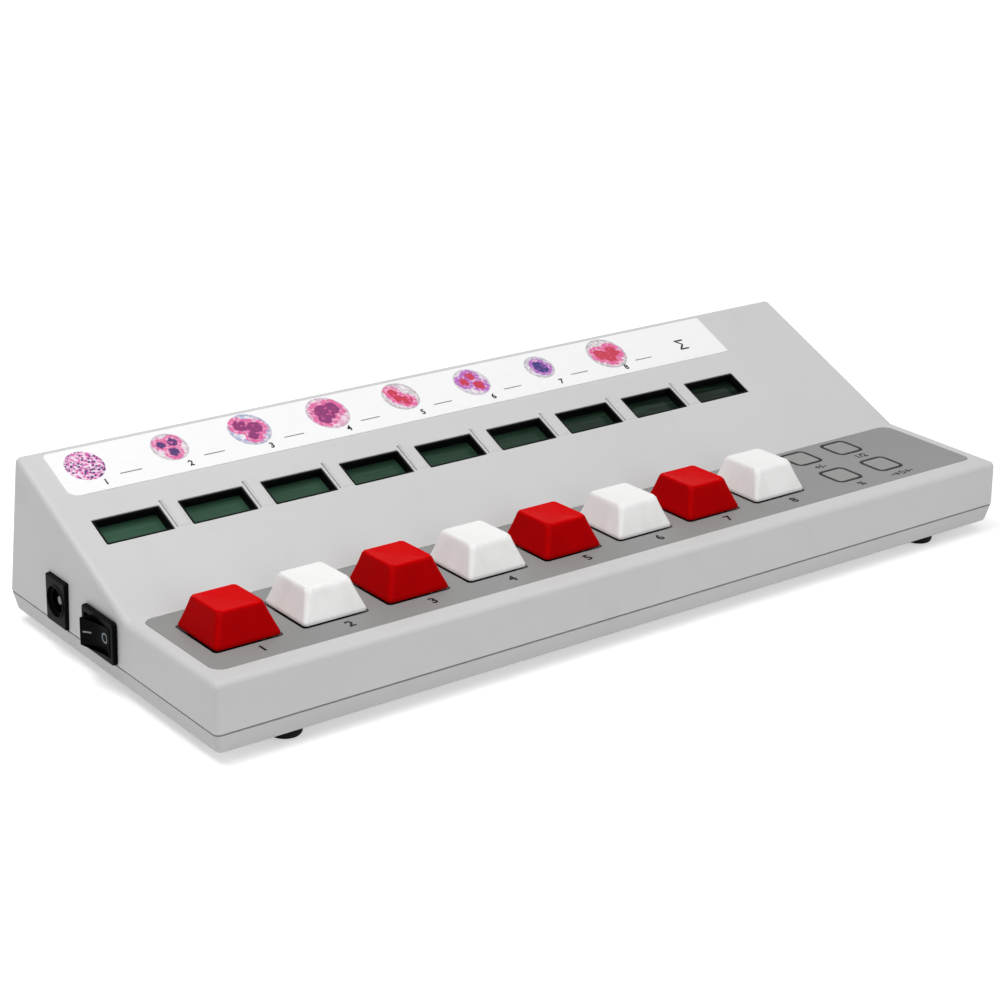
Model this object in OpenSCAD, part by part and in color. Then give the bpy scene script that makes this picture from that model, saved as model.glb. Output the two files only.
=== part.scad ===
// Differential cell counter: a sloped bench console with nine small displays, eight
// counting keys, four flat buttons, a rocker switch and a power socket.
// x runs from the left side to the right, y from the front to the rear, z upwards.
// The modules measure x and y from the left and front of the case, and z from the bench.

/* [Case] */
// Width of the case at the seam
case_w = 260; // [255:1:300]
// Depth of the case at the seam
case_d = 102; // [98:1:130]
// Height of the lower case
base_h = 5.6; // [5.2:0.2:9]
// Height of the key deck above the seam
deck_h = 12.6; // [12.4:0.2:16]
// Depth of the key deck, from the front to the foot of the slope
deck_depth = 40.9; // [40:0.1:46]
// Angle of the sloped face
slope_deg = 24; // [22:1:28]
// Lean of the rear wall, from the seam to the top
rear_lean = 4.5; // [3:0.5:8]
// Wall thickness of both cases
wall = 2.2; // [2:0.1:2.6]
// Rounding of the outer edges and corners
edge_r = 1.6; // [1:0.1:2]
// Rounding of the hollow where the slope meets the deck
cove_r = 2; // [1:0.5:3]
// How far each side leans in over the height of the lower case
base_draft = 1.2; // [0.6:0.1:1.6]
// How far each side leans in over 100 mm of the upper case
side_draft = 2.5; // [1:0.5:4]
// Height of the dark line between the cases
seam_gap = 0.5; // [0.3:0.1:0.8]
// Depth of the dark line between the cases
seam_depth = 0.9; // [0.5:0.1:1.2]
// Height of the lip that locates the upper case
lip_h = 2; // [1:0.5:3]
// Thickness of the lip
lip_t = 1; // [0.8:0.1:1.2]

/* [Feet and case screws] */
// Height of the rubber feet
foot_h = 3; // [2.6:0.2:5]
// Radius of a foot
foot_r = 4.4; // [4.2:0.1:6]
// Distance of the feet from the sides
foot_inset_x = 23; // [20:1:30]
// Distance of the front feet from the front
foot_inset_front = 7.5; // [7.5:0.1:8]
// Distance of the rear feet from the rear
foot_inset_rear = 9; // [9:0.5:14]
// Radius of the case screws
case_screw_r = 1.45; // [1.3:0.05:1.6]
// Radius of the case screws' heads
case_head_r = 2.8; // [2.6:0.1:3]
// Height of the case screws' heads
case_head_h = 1.3; // [1:0.1:1.4]
// Radius of the screw pillars
pillar_r = 3.4; // [3.2:0.1:3.5]
// How deep the case screws reach into the upper case
case_screw_bite = 7; // [5:0.5:8]

/* [Displays] */
// Distance from one display to the next, and from one key to the next
pitch = 24.3; // [24.1:0.1:26]
// Middle of the first display, from the left
display_x0 = 18; // [17:0.5:20]
// Middle of the displays, up the slope from its foot
display_s = 29.85; // [29:0.25:31]
// Width of a display window
window_w = 19; // [17:0.5:19.5]
// Height of a display window
window_h = 8.9; // [8:0.1:9.2]
// Thickness of a window surround
surround_t = 0.45; // [0.3:0.05:0.7]
// Width of a display glass
glass_w = 21.8; // [21:0.1:22]
// Height of a display glass
glass_h = 11.8; // [11:0.1:12]
// Thickness of a display glass
glass_t = 2; // [1.6:0.1:2.2]
// Height of the raised ribs between the windows
rib_rise = 0.8; // [0.4:0.1:1.2]
// How far the ribs run above the windows
rib_over = 1.6; // [0.5:0.1:3]

/* [Label strip] */
// Left end of the label strip
strip_x0 = 7.4; // [6:0.1:10]
// How far the strip runs past the middle of the last display
strip_over = 15.4; // [12:0.1:17]
// Share of the slope above the windows that stays bare below the strip
strip_low = 0.318; // [0.25:0.001:0.4]
// Distance of the strip from the top edge of the slope
strip_top = 2.66; // [2.5:0.02:6]
// Thickness of the label strip
strip_t = 0.2; // [0.1:0.05:0.3]

/* [Keys] */
// Most counting keys, where the case has room for them
key_most = 8; // [6:1:8]
// Middle of the first key, from the left
key_x0 = 18.4; // [17:0.1:20]
// Distance of the keys' middle from the foot of the slope
key_in = 16.7; // [16:0.1:18]
// Side of a keycap at its base
cap_base = 18; // [17:0.1:18.4]
// Width of a keycap's top
cap_top_w = 12.5; // [12:0.1:13]
// Depth of a keycap's top
cap_top_d = 13.6; // [13:0.1:14]
// Height of a keycap
cap_h = 7.7; // [7.6:0.1:9]
// How far a keycap's top is set back
cap_back = 0.9; // [0.5:0.1:1.1]
// Wall of a keycap
cap_wall = 1.3; // [1.2:0.1:1.4]
// Height of the keycaps' lower rims above the deck, at rest
cap_lift = 0.6; // [0.4:0.1:1]
// How far a key travels
key_travel = 3.8; // [3:0.1:4]
// Clearance of a keycap in its hole
key_gap = 0.5; // [0.4:0.05:0.6]

/* [Overlay and buttons] */
// Distance of the overlay from the sides
overlay_inset = 4; // [3:0.1:5]
// Distance of the overlay from the front of the case
overlay_front = 6.3; // [6:0.1:7]
// Distance of the overlay from the foot of the slope
overlay_rear = 0.5; // [0.4:0.1:1]
// Rounding of the overlay's corners
overlay_r = 3; // [2:0.5:5]
// Depth of the recess for the overlay
recess = 1; // [0.9:0.05:1.2]
// Thickness of the printed film
film_t = 0.4; // [0.3:0.05:0.5]
// Thickness of the spacer below the film
spacer_t = 0.4; // [0.35:0.05:0.5]
// Side of a flat button
button_w = 9.7; // [9:0.1:10]
// Clearance round a flat button
button_gap = 0.15; // [0.1:0.05:0.25]
// Distance of the right buttons' middle from the right side
button_side = 29; // [27:0.1:30]
// Distance between the two columns of buttons
button_pitch_x = 16.3; // [15:0.1:18]
// Distance of the rear buttons' middle from the foot of the slope
button_in = 6.9; // [6.5:0.1:8]
// Distance between the two rows of buttons
button_pitch_y = 15.9; // [15:0.1:16.2]
// How far a button travels
button_travel = 0.3; // [0.2:0.05:0.3]

/* [Boards] */
// Thickness of the circuit boards
board_t = 1.6; // [1.2:0.2:1.6]
// Height of the main board above the seam
board_lift = 0.6; // [0.4:0.1:1]
// Radius of the board screws
board_screw_r = 1; // [0.8:0.1:1.1]
// Radius of the board screws' heads
board_head_r = 2; // [1.8:0.1:2.2]
// Height of the board screws' heads
board_head_h = 1.3; // [1:0.1:1.5]
// Radius of the board standoffs
standoff_r = 2.6; // [2.4:0.1:2.7]
// Distance of the main board from the left side
board_left = 6; // [5:0.5:8]
// Distance of the main board from the right side
board_right = 10; // [8:0.5:12]
// How far the main board runs behind the foot of the slope
board_under = 25.1; // [24:0.1:26]
// Distance of the board's rear screws and leads from its rear edge
board_screw_in = 5; // [4:0.5:6]

/* [Key switches] */
// Side of the base housing
switch_w = 14; // [13.6:0.1:14.2]
// Height of the base housing
switch_base_h = 5; // [4.8:0.1:5.2]
// Height of the top housing
switch_top_h = 6.6; // [6.4:0.1:6.8]
// Width of the stem
stem_w = 7; // [6.6:0.1:7.2]
// Depth of the stem
stem_d = 5.6; // [5.5:0.1:5.8]
// Height of the stem's cross
cross_h = 3.6; // [3.2:0.1:3.6]
// Turns of a key spring
spring_turns = 4; // [3:1:5]
// Radius of a key spring's wire
spring_wire_r = 0.18; // [0.15:0.01:0.2]
// Radius of a key spring, to the middle of its wire
spring_r = 1.9; // [1.7:0.1:2]

/* [Rocker switch] */
// Middle of the rocker switch, from the front
rocker_y = 52.8; // [52.5:0.1:54]
// Width of the bezel
bezel_w = 15.6; // [15:0.1:16]
// Height of the bezel
bezel_h = 11.1; // [10.6:0.1:11.3]
// How far the bezel stands out
bezel_t = 1.2; // [0.8:0.1:1.6]
// Width of the bezel's rim round the paddle
bezel_rim = 1.35; // [1.1:0.05:1.6]
// Depth of the switch housing inside the case
rocker_depth = 11; // [10:0.5:13]
// Depth of the pivot behind the face of the case
pivot_in = 1.6; // [1.5:0.1:1.8]
// Angle between the two positions of the paddle
rocker_swing = 26; // [22:1:27]
// Radius of the paddle's pivot pin
pivot_r = 1; // [0.8:0.1:1.1]

/* [Power socket] */
// Middle of the power socket, from the front
jack_y = 74.7; // [74:0.1:76]
// Width of the power socket
jack_w = 10; // [9.6:0.1:10.4]
// Height of the power socket
jack_h = 12.3; // [11.8:0.1:12.5]
// Depth of the power socket
jack_depth = 14; // [13:0.5:15]
// How far the socket stands out
jack_out = 0.9; // [0.6:0.1:1.2]
// Radius of the bore
jack_bore_r = 3.15; // [3:0.05:3.3]
// Radius of the centre pin
jack_pin_r = 1.05; // [0.95:0.05:1.25]
// Depth of the bore
jack_bore_depth = 10; // [9:0.5:11]
// How far the pin ends behind the mouth of the bore
jack_pin_back = 1.2; // [0.8:0.1:2]

/* [Hidden] */
$fn = 48;

// The flat buttons stand at the right of the deck, and as many keys as fit at their left
button_x1 = case_w - button_side;
button_x0 = button_x1 - button_pitch_x;
key_hole = cap_base + 2 * key_gap;
key_room = button_x0 - button_w / 2 - key_hole / 2 - 2 * wall - key_x0;
key_n = min(key_most, 1 + floor(key_room / pitch));
// one display for each key and one for the total
display_n = key_n + 1;

slide_gap = 0.15; // between a part and what it drops or slides into
turn_gap = 0.05; // round a pin or a screw in its bore
lead_r = 0.7;
lead_turn = 3.5; // how far a lead runs straight out of its terminal
hole_gap = 0.25; // round a screw in a part that it passes through
cut = 1; // how far a cut runs past the face it opens
arc_steps = 5; // straight steps in a rounded edge

// Heights above the bench
floor_z = foot_h + wall;
seam_z = foot_h + base_h;
deck_z = seam_z + deck_h;
board_z = seam_z + board_lift;
board_top = board_z + board_t;
spacer_z = deck_z - recess;
film_z = spacer_z + spacer_t;

// Rows on the deck, counted from the front
key_y = deck_depth - key_in;
button_y1 = deck_depth - button_in;
button_y0 = button_y1 - button_pitch_y;

function key_x(i) = key_x0 + i * pitch;
function display_x(i) = display_x0 + i * pitch;
// how far a side of the upper case leans in at the height z
function side_in(z) = (z - seam_z) * side_draft / 100;
function slope_z(y) = deck_z + (y - deck_depth) * tan(slope_deg);

// The whole object, the raised paddle counted, stands centred on the origin
paddle_half = bezel_w / 2 - bezel_rim - 0.25;
paddle_deep = pivot_in + bezel_t + 0.1;
paddle_r = norm([paddle_deep, paddle_half]);
tip_deg = atan2(paddle_half, paddle_deep) - rocker_swing / 2;
paddle_reach = paddle_r * cos(tip_deg - rocker_swing / 2) - pivot_in;

module at_origin() {
  translate([(paddle_reach - case_w) / 2, -case_d / 2, 0]) children();
}

// The sloped face, with y up the slope from its foot and z outwards from it
module on_slope() {
  translate([0, deck_depth, deck_z]) rotate([slope_deg, 0, 0]) children();
}

// A shape drawn in y and z, run from x0 to x1
module along_x(x0, x1) {
  translate([x0, 0, 0]) rotate([90, 0, 90]) linear_extrude(x1 - x0) children();
}

module slab(w, d, r, h) {
  linear_extrude(h) round_rect(w, d, r);
}

// Lengths are rounded to 0.001 mm, so that the straight sides meet the round corners
// without slivers.
function neat(a) = round(1000 * a) / 1000;

module round_rect(w, d, r) {
  centre = [neat(w / 2 - r), neat(d / 2 - r)];
  square([2 * centre.x, 2 * (centre.y + r)], center = true);
  square([2 * (centre.x + r), 2 * centre.y], center = true);
  for (x = [-1, 1], y = [-1, 1]) {
    translate([x * centre.x, y * centre.y]) circle(r);
  }
}

module box_at(x, y, z, w, d, h) {
  translate([x - w / 2, y - d / 2, z]) cube([w, d, h]);
}

// ---- the case's outline in y and z: straight lines, each [outward normal, offset] ----
lean = atan2(side_draft, 100);
rear_lean_deg = atan2(rear_lean, slope_z(case_d - rear_lean) - seam_z);
function ray(a) = [cos(a), sin(a)];
function line(a, p, e) = [ray(a), ray(a) * p - e];
function front_line(e) = line(180 - lean, [0, seam_z], e);
function deck_line(e) = line(90, [0, deck_z], e);
function slope_line(e) = line(90 + slope_deg, [deck_depth, deck_z], e);
function rear_line(e) = line(rear_lean_deg, [case_d, seam_z], e);
function seam_line(e) = line(-90, [0, seam_z], e);
function meet(a, b) =
  let (det = a[0].x * b[0].y - a[0].y * b[0].x)
  [(a[1] * b[0].y - b[1] * a[0].y) / det, (a[0].x * b[1] - b[0].x * a[1]) / det];
function angle_of(a) = atan2(a[0].y, a[0].x);
// the bend between two lines: a round corner where r is positive, a hollow where negative
function bend(a, b, r) =
  let (c = meet(a, b) - r * (a[0] + b[0]) / (1 + a[0] * b[0]))
  [for (k = [0 : arc_steps])
    c + r * ray(angle_of(a) + (angle_of(b) - angle_of(a)) * k / arc_steps)];
// the outline of the upper case, drawn in by e
function case_outline(e) = concat(
  [meet(seam_line(0), front_line(e))],
  bend(front_line(e), deck_line(e), edge_r - 0.95 * e),
  bend(deck_line(e), slope_line(e), -cove_r - e),
  bend(slope_line(e), rear_line(e), edge_r - 0.95 * e),
  [meet(rear_line(e), seam_line(0))]
);
// the solid wedge: that outline carried from side to side, drawn in round both ends
module case_solid() {
  turns = [for (k = [0 : arc_steps]) 90 * k / arc_steps];
  ends = [for (t = turns) [edge_r * (1 - cos(t)), edge_r * (1 - sin(t))]];
  n = len(case_outline(0));
  rings = concat(
    [for (s = ends) [for (p = case_outline(s[1])) [s[0] + side_in(p.y), p.x, p.y]]],
    [for (i = [arc_steps : -1 : 0]) let (s = ends[i])
      [for (p = case_outline(s[1])) [case_w - s[0] - side_in(p.y), p.x, p.y]]]
  );
  last = len(rings) - 1;
  polyhedron(
    points = [for (ring = rings) each ring],
    faces = concat(
      [[for (j = [n - 1 : -1 : 0]) j]],
      [for (i = [0 : last - 1]) for (j = [0 : n - 1])
        [i * n + j, i * n + (j + 1) % n, (i + 1) * n + (j + 1) % n, (i + 1) * n + j]],
      [[for (j = [0 : n - 1]) last * n + j]]
    )
  );
}

slope_len = norm(meet(slope_line(0), rear_line(0)) - [deck_depth, deck_z]);

// ---- case ----
foot_xs = [foot_inset_x, case_w - foot_inset_x];
front_foot_y = foot_inset_front;
rear_foot_y = case_d - foot_inset_rear;
module at_feet() {
  for (x = foot_xs, y = [front_foot_y, rear_foot_y]) {
    translate([x, y, 0]) children();
  }
}
lip_inset = wall + slide_gap;
pillar_sunk = wall / 4; // how deep pillars stand in the floor
socket_z = seam_z + 0.1;
socket_flange = 1.2;
rocker_z = seam_z + bezel_h / 2;
rocker_wall = 0.6;
rocker_body_w = bezel_w - 2 * bezel_rim + 0.1;
rocker_body_h = bezel_h - 2 * rocker_wall;

module lower_case() {
  color("#c9cacc") difference() {
    union() {
      difference() {
        translate([case_w / 2, case_d / 2, 0]) hull() {
          translate([0, 0, foot_h]) {
            slab(case_w - 2 * base_draft, case_d - 2 * base_draft, edge_r, 0.1);
          }
          translate([0, 0, seam_z - 0.1]) slab(case_w, case_d, edge_r, 0.1);
        }
        box_at(case_w / 2, case_d / 2, floor_z,
               case_w - 2 * (base_draft + wall), case_d - 2 * (base_draft + wall), base_h);
        seam_groove();
      }
      locating_lip();
      at_feet() translate([0, 0, floor_z - pillar_sunk]) {
        cylinder(r = pillar_r, h = seam_z - floor_z + pillar_sunk);
      }
      at_board_screws() translate([0, 0, floor_z - pillar_sunk]) {
        cylinder(r = standoff_r, h = board_z - floor_z + pillar_sunk);
      }
    }
    at_feet() translate([0, 0, foot_h - cut]) {
      cylinder(r = case_screw_r + hole_gap, h = base_h + 2 * cut);
    }
    at_board_screws() translate([0, 0, floor_z]) {
      cylinder(r = board_screw_r + turn_gap, h = board_z);
    }
  }
}

module seam_groove() {
  translate([0, 0, seam_z - seam_gap]) difference() {
    translate([-cut, -cut, 0]) cube([case_w + 2 * cut, case_d + 2 * cut, cut + seam_gap]);
    translate([case_w / 2, case_d / 2, -cut]) {
      slab(case_w - 2 * seam_depth, case_d - 2 * seam_depth, edge_r, 3 * cut);
    }
  }
}

module locating_lip() {
  lip_w = case_w - 2 * lip_inset;
  // clear of the leaning rear wall too
  lip_d = case_d - 2 * lip_inset - lip_h * tan(rear_lean_deg);
  difference() {
    translate([lip_inset, lip_inset, floor_z]) cube([lip_w, lip_d, seam_z + lip_h - floor_z]);
    translate([lip_inset + lip_t, lip_inset + lip_t, 0]) {
      cube([lip_w - 2 * lip_t, lip_d - 2 * lip_t, deck_z]);
    }
    // gaps for the rocker switch and the power socket
    box_at(lip_inset, rocker_y, seam_z, 4 * lip_t, rocker_body_w + 2 * hole_gap, deck_z);
    box_at(lip_inset, jack_y, seam_z, 4 * lip_t, jack_w + 2 * socket_flange + 2 * hole_gap, deck_z);
  }
}

module upper_case() {
  color("#d3d4d6") difference() {
    union() {
      difference() {
        case_solid();
        along_x(wall, case_w - wall) polygon([
          meet(seam_line(-cut), front_line(wall)),
          meet(front_line(wall), deck_line(wall + recess)),
          meet(deck_line(wall + recess), slope_line(wall)),
          meet(slope_line(wall), rear_line(wall)),
          meet(rear_line(wall), seam_line(-cut))
        ]);
      }
      for (x = foot_xs) {
        translate([x, front_foot_y, seam_z]) cylinder(r = pillar_r, h = deck_h - wall);
        translate([x, rear_foot_y, seam_z]) {
          cylinder(r = pillar_r, h = slope_z(rear_foot_y - pillar_r) - wall / 5 - seam_z);
        }
      }
      on_slope() at_display_screws() translate([0, 0, -display_drop]) {
        cylinder(r = standoff_r, h = display_drop - wall / 5);
      }
      on_slope() window_ribs();
    }
    at_feet() translate([0, 0, seam_z - cut]) {
      cylinder(r = case_screw_r + turn_gap, h = case_screw_bite + cut + screw_end_gap);
    }
    on_slope() at_display_screws() translate([0, 0, -display_drop - cut]) {
      cylinder(r = board_screw_r + turn_gap, h = display_drop - wall / 2 + cut);
    }
    on_slope() for (i = [0 : display_n - 1]) {
      box_at(display_x(i), display_s, -2 * wall, window_w, window_h, 4 * wall);
    }
    translate([0, 0, spacer_z]) linear_extrude(recess + cut) overlay_outline(0);
    for (i = [0 : key_n - 1]) {
      translate([key_x(i), key_y, spacer_z - 2 * wall]) {
        slab(key_hole, key_hole, key_hole_r, 3 * wall);
      }
    }
    at_buttons() translate([0, 0, spacer_z - 2 * wall]) {
      cylinder(r = actuator_r + hole_gap, h = 3 * wall);
    }
    // notches for the rocker switch and the power socket, open below
    box_at(0, rocker_y, seam_z - cut, 4 * wall, rocker_body_w + 2 * slide_gap,
           rocker_z + rocker_body_h / 2 + slide_gap - seam_z + cut);
    box_at(0, jack_y, seam_z - cut, 4 * wall, jack_w + 2 * slide_gap,
           socket_z + jack_h + slide_gap - seam_z + cut);
  }
}

rib_inset = 0.5; // between a rib and the windows beside it
module window_ribs() {
  rib_w = pitch - window_w - 2 * rib_inset;
  for (i = [0 : display_n - 2]) {
    box_at(display_x(i) + pitch / 2, display_s + rib_over / 2, -wall / 2,
           rib_w, window_h + rib_over, wall / 2 + rib_rise);
  }
}

foot_taper = 0.3;
module rubber_feet() {
  color("#1b1b1d") at_feet() difference() {
    cylinder(r1 = foot_r - foot_taper, r2 = foot_r, h = foot_h);
    translate([0, 0, -cut]) cylinder(r = case_screw_r + hole_gap, h = foot_h + 2 * cut);
    translate([0, 0, -cut]) cylinder(r = case_head_r + hole_gap, h = cut + head_z);
  }
}

// the case screws' heads stand clear of the bench
head_z = case_head_h + 0.4;
screw_end_gap = 0.5; // below the end of a screw in its bore
slot_w = 0.5;
module case_screws() {
  color("#b9bcc0") at_feet() difference() {
    union() {
      translate([0, 0, head_z - case_head_h]) cylinder(r = case_head_r, h = case_head_h);
      translate([0, 0, head_z]) cylinder(r = case_screw_r, h = seam_z + case_screw_bite - head_z);
    }
    for (a = [0, 90]) {
      translate([0, 0, head_z - case_head_h]) rotate([0, 0, a]) {
        cube([1.2 * case_head_r, slot_w, case_head_h], center = true);
      }
    }
  }
}

module label_strip() {
  strip_w = display_x(display_n - 1) + strip_over - strip_x0;
  window_top = display_s + window_h / 2;
  strip_s = window_top + strip_low * (slope_len - window_top);
  strip_h = slope_len - strip_top - strip_s;
  color("#f4f5f6") on_slope() translate([strip_x0 + strip_w / 2, strip_s + strip_h / 2, 0]) {
    slab(strip_w, strip_h, 2, strip_t);
  }
}

// ---- overlay and flat buttons ----
key_hole_r = 1.2;
button_r = 2.2;
actuator_r = 2.3;
button_hole = button_w + 2 * button_gap;
overlay_w = case_w - 2 * overlay_inset;
overlay_d = deck_depth - overlay_front - overlay_rear;
button_spots = [for (y = [button_y1, button_y0]) for (x = [button_x0, button_x1]) [x, y, 0]];
module at_buttons() {
  for (p = button_spots) {
    translate(p) children();
  }
}

module overlay_outline(gap) {
  translate([case_w / 2, overlay_front + overlay_d / 2]) {
    round_rect(overlay_w - 2 * gap, overlay_d - 2 * gap, overlay_r - gap);
  }
}

module overlay_sheet(z, t, hole) {
  translate([0, 0, z]) difference() {
    linear_extrude(t) overlay_outline(slide_gap);
    for (i = [0 : key_n - 1]) {
      translate([key_x(i), key_y, -cut]) slab(key_hole, key_hole, key_hole_r, t + 2 * cut);
    }
    at_buttons() translate([0, 0, -cut]) slab(hole, hole, button_r, t + 2 * cut);
  }
}

module overlay_film() {
  color("#a3a5a6") overlay_sheet(film_z, film_t, button_hole);
}

module overlay_spacer() {
  color("#e8e6df") overlay_sheet(spacer_z, spacer_t, button_hole + hole_gap);
}

module button(i) {
  color("#a9abac") translate(button_spots[i]) {
    translate([0, 0, film_z]) slab(button_w, button_w, button_r - button_gap, film_t);
    translate([0, 0, plunger_top]) cylinder(r = actuator_r, h = film_z - plunger_top + film_t / 2);
  }
}

tact_w = 6;
tact_h = 3.5;
tact_bore_z = board_top + tact_h / 2;
plunger_r = 1.75;
plunger_top = spacer_z - wall - 2 * slide_gap;
module tact_switch_bodies() {
  color("#2a2b2e") at_buttons() difference() {
    box_at(0, 0, board_top, tact_w, tact_w, tact_h);
    translate([0, 0, tact_bore_z]) cylinder(r = plunger_r + turn_gap, h = tact_h);
  }
}

module plunger(i) {
  low = tact_bore_z + button_travel + slide_gap;
  color("#3a3b3e") translate(button_spots[i] + [0, 0, low]) {
    cylinder(r = plunger_r, h = plunger_top - low);
  }
}

module sign_button() { button(0); }
module mode_button() { button(1); }
module percent_button() { button(2); }
module reset_button() { button(3); }
module sign_plunger() { plunger(0); }
module mode_plunger() { plunger(1); }
module percent_plunger() { plunger(2); }
module reset_plunger() { plunger(3); }

// ---- displays ----
// Depths below the slope: a black frame whose nose stands in the window and whose flange
// lies under the wall, the glass in the flange, and the display board under both
frame_wall = 0.7;
flange_t = 0.35;
flange_z = -wall - turn_gap;
glass_gap = 0.1;
glass_z = flange_z - flange_t;
display_drop = -glass_z + glass_t + 2 * glass_gap;
display_board_z = -display_drop - board_t;
display_screw_ds = glass_h / 2 + frame_wall + standoff_r + screw_end_gap;
module at_display_screws() {
  for (i = [0, floor(key_n / 2), display_n - 2], s = [-1, 1]) {
    translate([display_x(i) + pitch / 2, display_s + s * display_screw_ds, 0]) children();
  }
}

module display_surrounds() {
  nose = [window_w - 2 * slide_gap, window_h - 2 * slide_gap];
  pocket = [glass_w + 2 * glass_gap, glass_h + 2 * glass_gap];
  color("#0d0e0f") on_slope() for (i = [0 : display_n - 1]) {
    difference() {
      union() {
        box_at(display_x(i), display_s, glass_z, nose.x, nose.y, -slide_gap - glass_z);
        box_at(display_x(i), display_s, -display_drop, pocket.x + 2 * frame_wall,
               pocket.y + 2 * frame_wall, display_drop + flange_z);
      }
      box_at(display_x(i), display_s, -display_drop - cut, nose.x - 2 * surround_t,
             nose.y - 2 * surround_t, display_drop + 2 * cut);
      box_at(display_x(i), display_s, -display_drop - cut, pocket.x, pocket.y,
             cut + display_drop + glass_z);
    }
  }
}

module display_glasses() {
  color("#41524b") on_slope() for (i = [0 : display_n - 1]) {
    box_at(display_x(i), display_s, glass_z - glass_gap - glass_t, glass_w, glass_h, glass_t);
  }
}

module display_board() {
  board_w = (display_n - 1) * pitch + glass_w + 2 * frame_wall + 2 * cut;
  board_d = 2 * (display_screw_ds + standoff_r);
  color("#2f6b3f") on_slope() difference() {
    box_at((display_x(0) + display_x(display_n - 1)) / 2, display_s, display_board_z,
           board_w, board_d, board_t);
    at_display_screws() translate([0, 0, display_board_z - cut]) {
      cylinder(r = board_screw_r + hole_gap, h = board_t + 2 * cut);
    }
  }
}

module board_screw(shank) {
  difference() {
    union() {
      cylinder(r = board_head_r, h = board_head_h);
      translate([0, 0, -shank]) cylinder(r = board_screw_r, h = shank + board_head_h / 2);
    }
    for (a = [0, 90]) {
      translate([0, 0, board_head_h]) rotate([0, 0, a]) {
        cube([1.3 * board_head_r, slot_w, board_head_h], center = true);
      }
    }
  }
}

module display_board_screws() {
  color("#c4c7ca") on_slope() at_display_screws() translate([0, 0, display_board_z]) {
    mirror([0, 0, 1]) board_screw(display_drop + board_t - wall / 2 - screw_end_gap);
  }
}

// ---- main board ----
board_gap = 0.8; // between the board and the pillars
board_front = front_foot_y + pillar_r + board_gap;
board_rear = deck_depth + board_under;
// the board is cut away at its left rear, behind the rocker switch's terminals
terminal_l = 6;
terminal_tail_x = rocker_depth + terminal_l;
board_step = [terminal_tail_x + lead_turn + 2 * board_gap, rocker_y - bezel_w / 2 - 2 * board_gap];
board_screw_xs = [key_x0 + pitch / 2, key_x0 + (floor(key_n / 2) + 0.5) * pitch,
                  case_w - board_right - standoff_r - 2 * wall];
rear_row_y = board_rear - board_screw_in;
module at_board_screws() {
  for (x = board_screw_xs, y = [key_y, rear_row_y]) {
    translate([x, y, 0]) children();
  }
}

module main_board() {
  color("#2f6b3f") difference() {
    translate([board_left, board_front, board_z]) {
      cube([case_w - board_left - board_right, board_rear - board_front, board_t]);
    }
    translate([board_left - cut, board_step.y, board_z - cut]) {
      cube([board_step.x - board_left + cut, board_rear, board_t + 2 * cut]);
    }
    at_board_screws() translate([0, 0, board_z - cut]) {
      cylinder(r = board_screw_r + hole_gap, h = board_t + 2 * cut);
    }
  }
}

module main_board_screws() {
  color("#c4c7ca") at_board_screws() translate([0, 0, board_top]) {
    board_screw(board_top - floor_z);
  }
}

// the microcontroller, the sounder and two capacitors stand in a row behind the keys
chip_x = (board_screw_xs[0] + board_screw_xs[1]) / 2;
chip = [52, 13.6, 3.6];
chip_lift = 0.5;
chip_y = board_rear - chip.y / 2 - board_screw_in;
leg = [0.6, 0.5, 2.2];
leg_pitch = 2.54;
leg_n = 20;
module microcontroller() {
  leg_x0 = chip_x - (leg_n - 1) * leg_pitch / 2;
  notch = 1.5;
  color("#1d1d1f") difference() {
    box_at(chip_x, chip_y, board_top + chip_lift, chip.x, chip.y, chip.z);
    translate([chip_x - chip.x / 2, chip_y, board_top + chip_lift + chip.z / 2]) {
      cylinder(r = notch, h = chip.z);
    }
  }
  color("#c4c7ca") for (k = [0 : leg_n - 1], side = [-1, 1]) {
    box_at(leg_x0 + k * leg_pitch, chip_y + side * (chip.y + leg.y / 2) / 2, board_top,
           leg.x, leg.y, leg.z);
  }
}

sounder_r = 6;
sounder_h = 9.5;
module sounder() {
  color("#161618") translate([button_x0 - pitch, chip_y, board_top]) difference() {
    cylinder(r = sounder_r, h = sounder_h);
    translate([0, 0, sounder_h - 1]) cylinder(r = sounder_r / 6, h = 2);
  }
}

capacitor_r = 3.15;
capacitor_h = 7;
module capacitors() {
  color("#31456e") for (k = [0, 1]) {
    translate([button_x0 + 3 * capacitor_r * k, chip_y, board_top]) {
      cylinder(r = capacitor_r, h = capacitor_h);
    }
  }
}

// ---- ribbon cable: leaves the main board rearwards and comes up to the display board ----
ribbon_w = 20.3;
ribbon_t = 0.9;
ribbon_loop = 11; // how far the ribbon runs straight out before it bends
low_header = [ribbon_w + 1, 7, 6];
high_header = [ribbon_w + 1, 5, 5];
ribbon_x = board_screw_xs[1] + board_head_r + low_header.x / 2 + board_gap;
low_header_y = board_rear - low_header.y / 2 - board_screw_in / 2;
ribbon_s = display_s + glass_h / 2 + high_header.y / 4;
ribbon_out = [sin(slope_deg), -cos(slope_deg)];
ribbon_start = [low_header_y + low_header.y / 2, board_top + low_header.z / 2];
ribbon_end = [deck_depth + ribbon_s * cos(slope_deg), deck_z + ribbon_s * sin(slope_deg)]
  + ribbon_out * (display_drop + board_t + high_header.z);
ribbon_route = [ribbon_start, ribbon_start + [ribbon_loop, 0],
                ribbon_end + ribbon_loop * 0.75 * ribbon_out, ribbon_end];
function curve(p, t) = pow(1 - t, 3) * p[0] + 3 * pow(1 - t, 2) * t * p[1]
  + 3 * (1 - t) * t * t * p[2] + t * t * t * p[3];
function heading(p, t) = 3 * pow(1 - t, 2) * (p[1] - p[0]) + 6 * (1 - t) * t * (p[2] - p[1])
  + 3 * t * t * (p[3] - p[2]);
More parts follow.
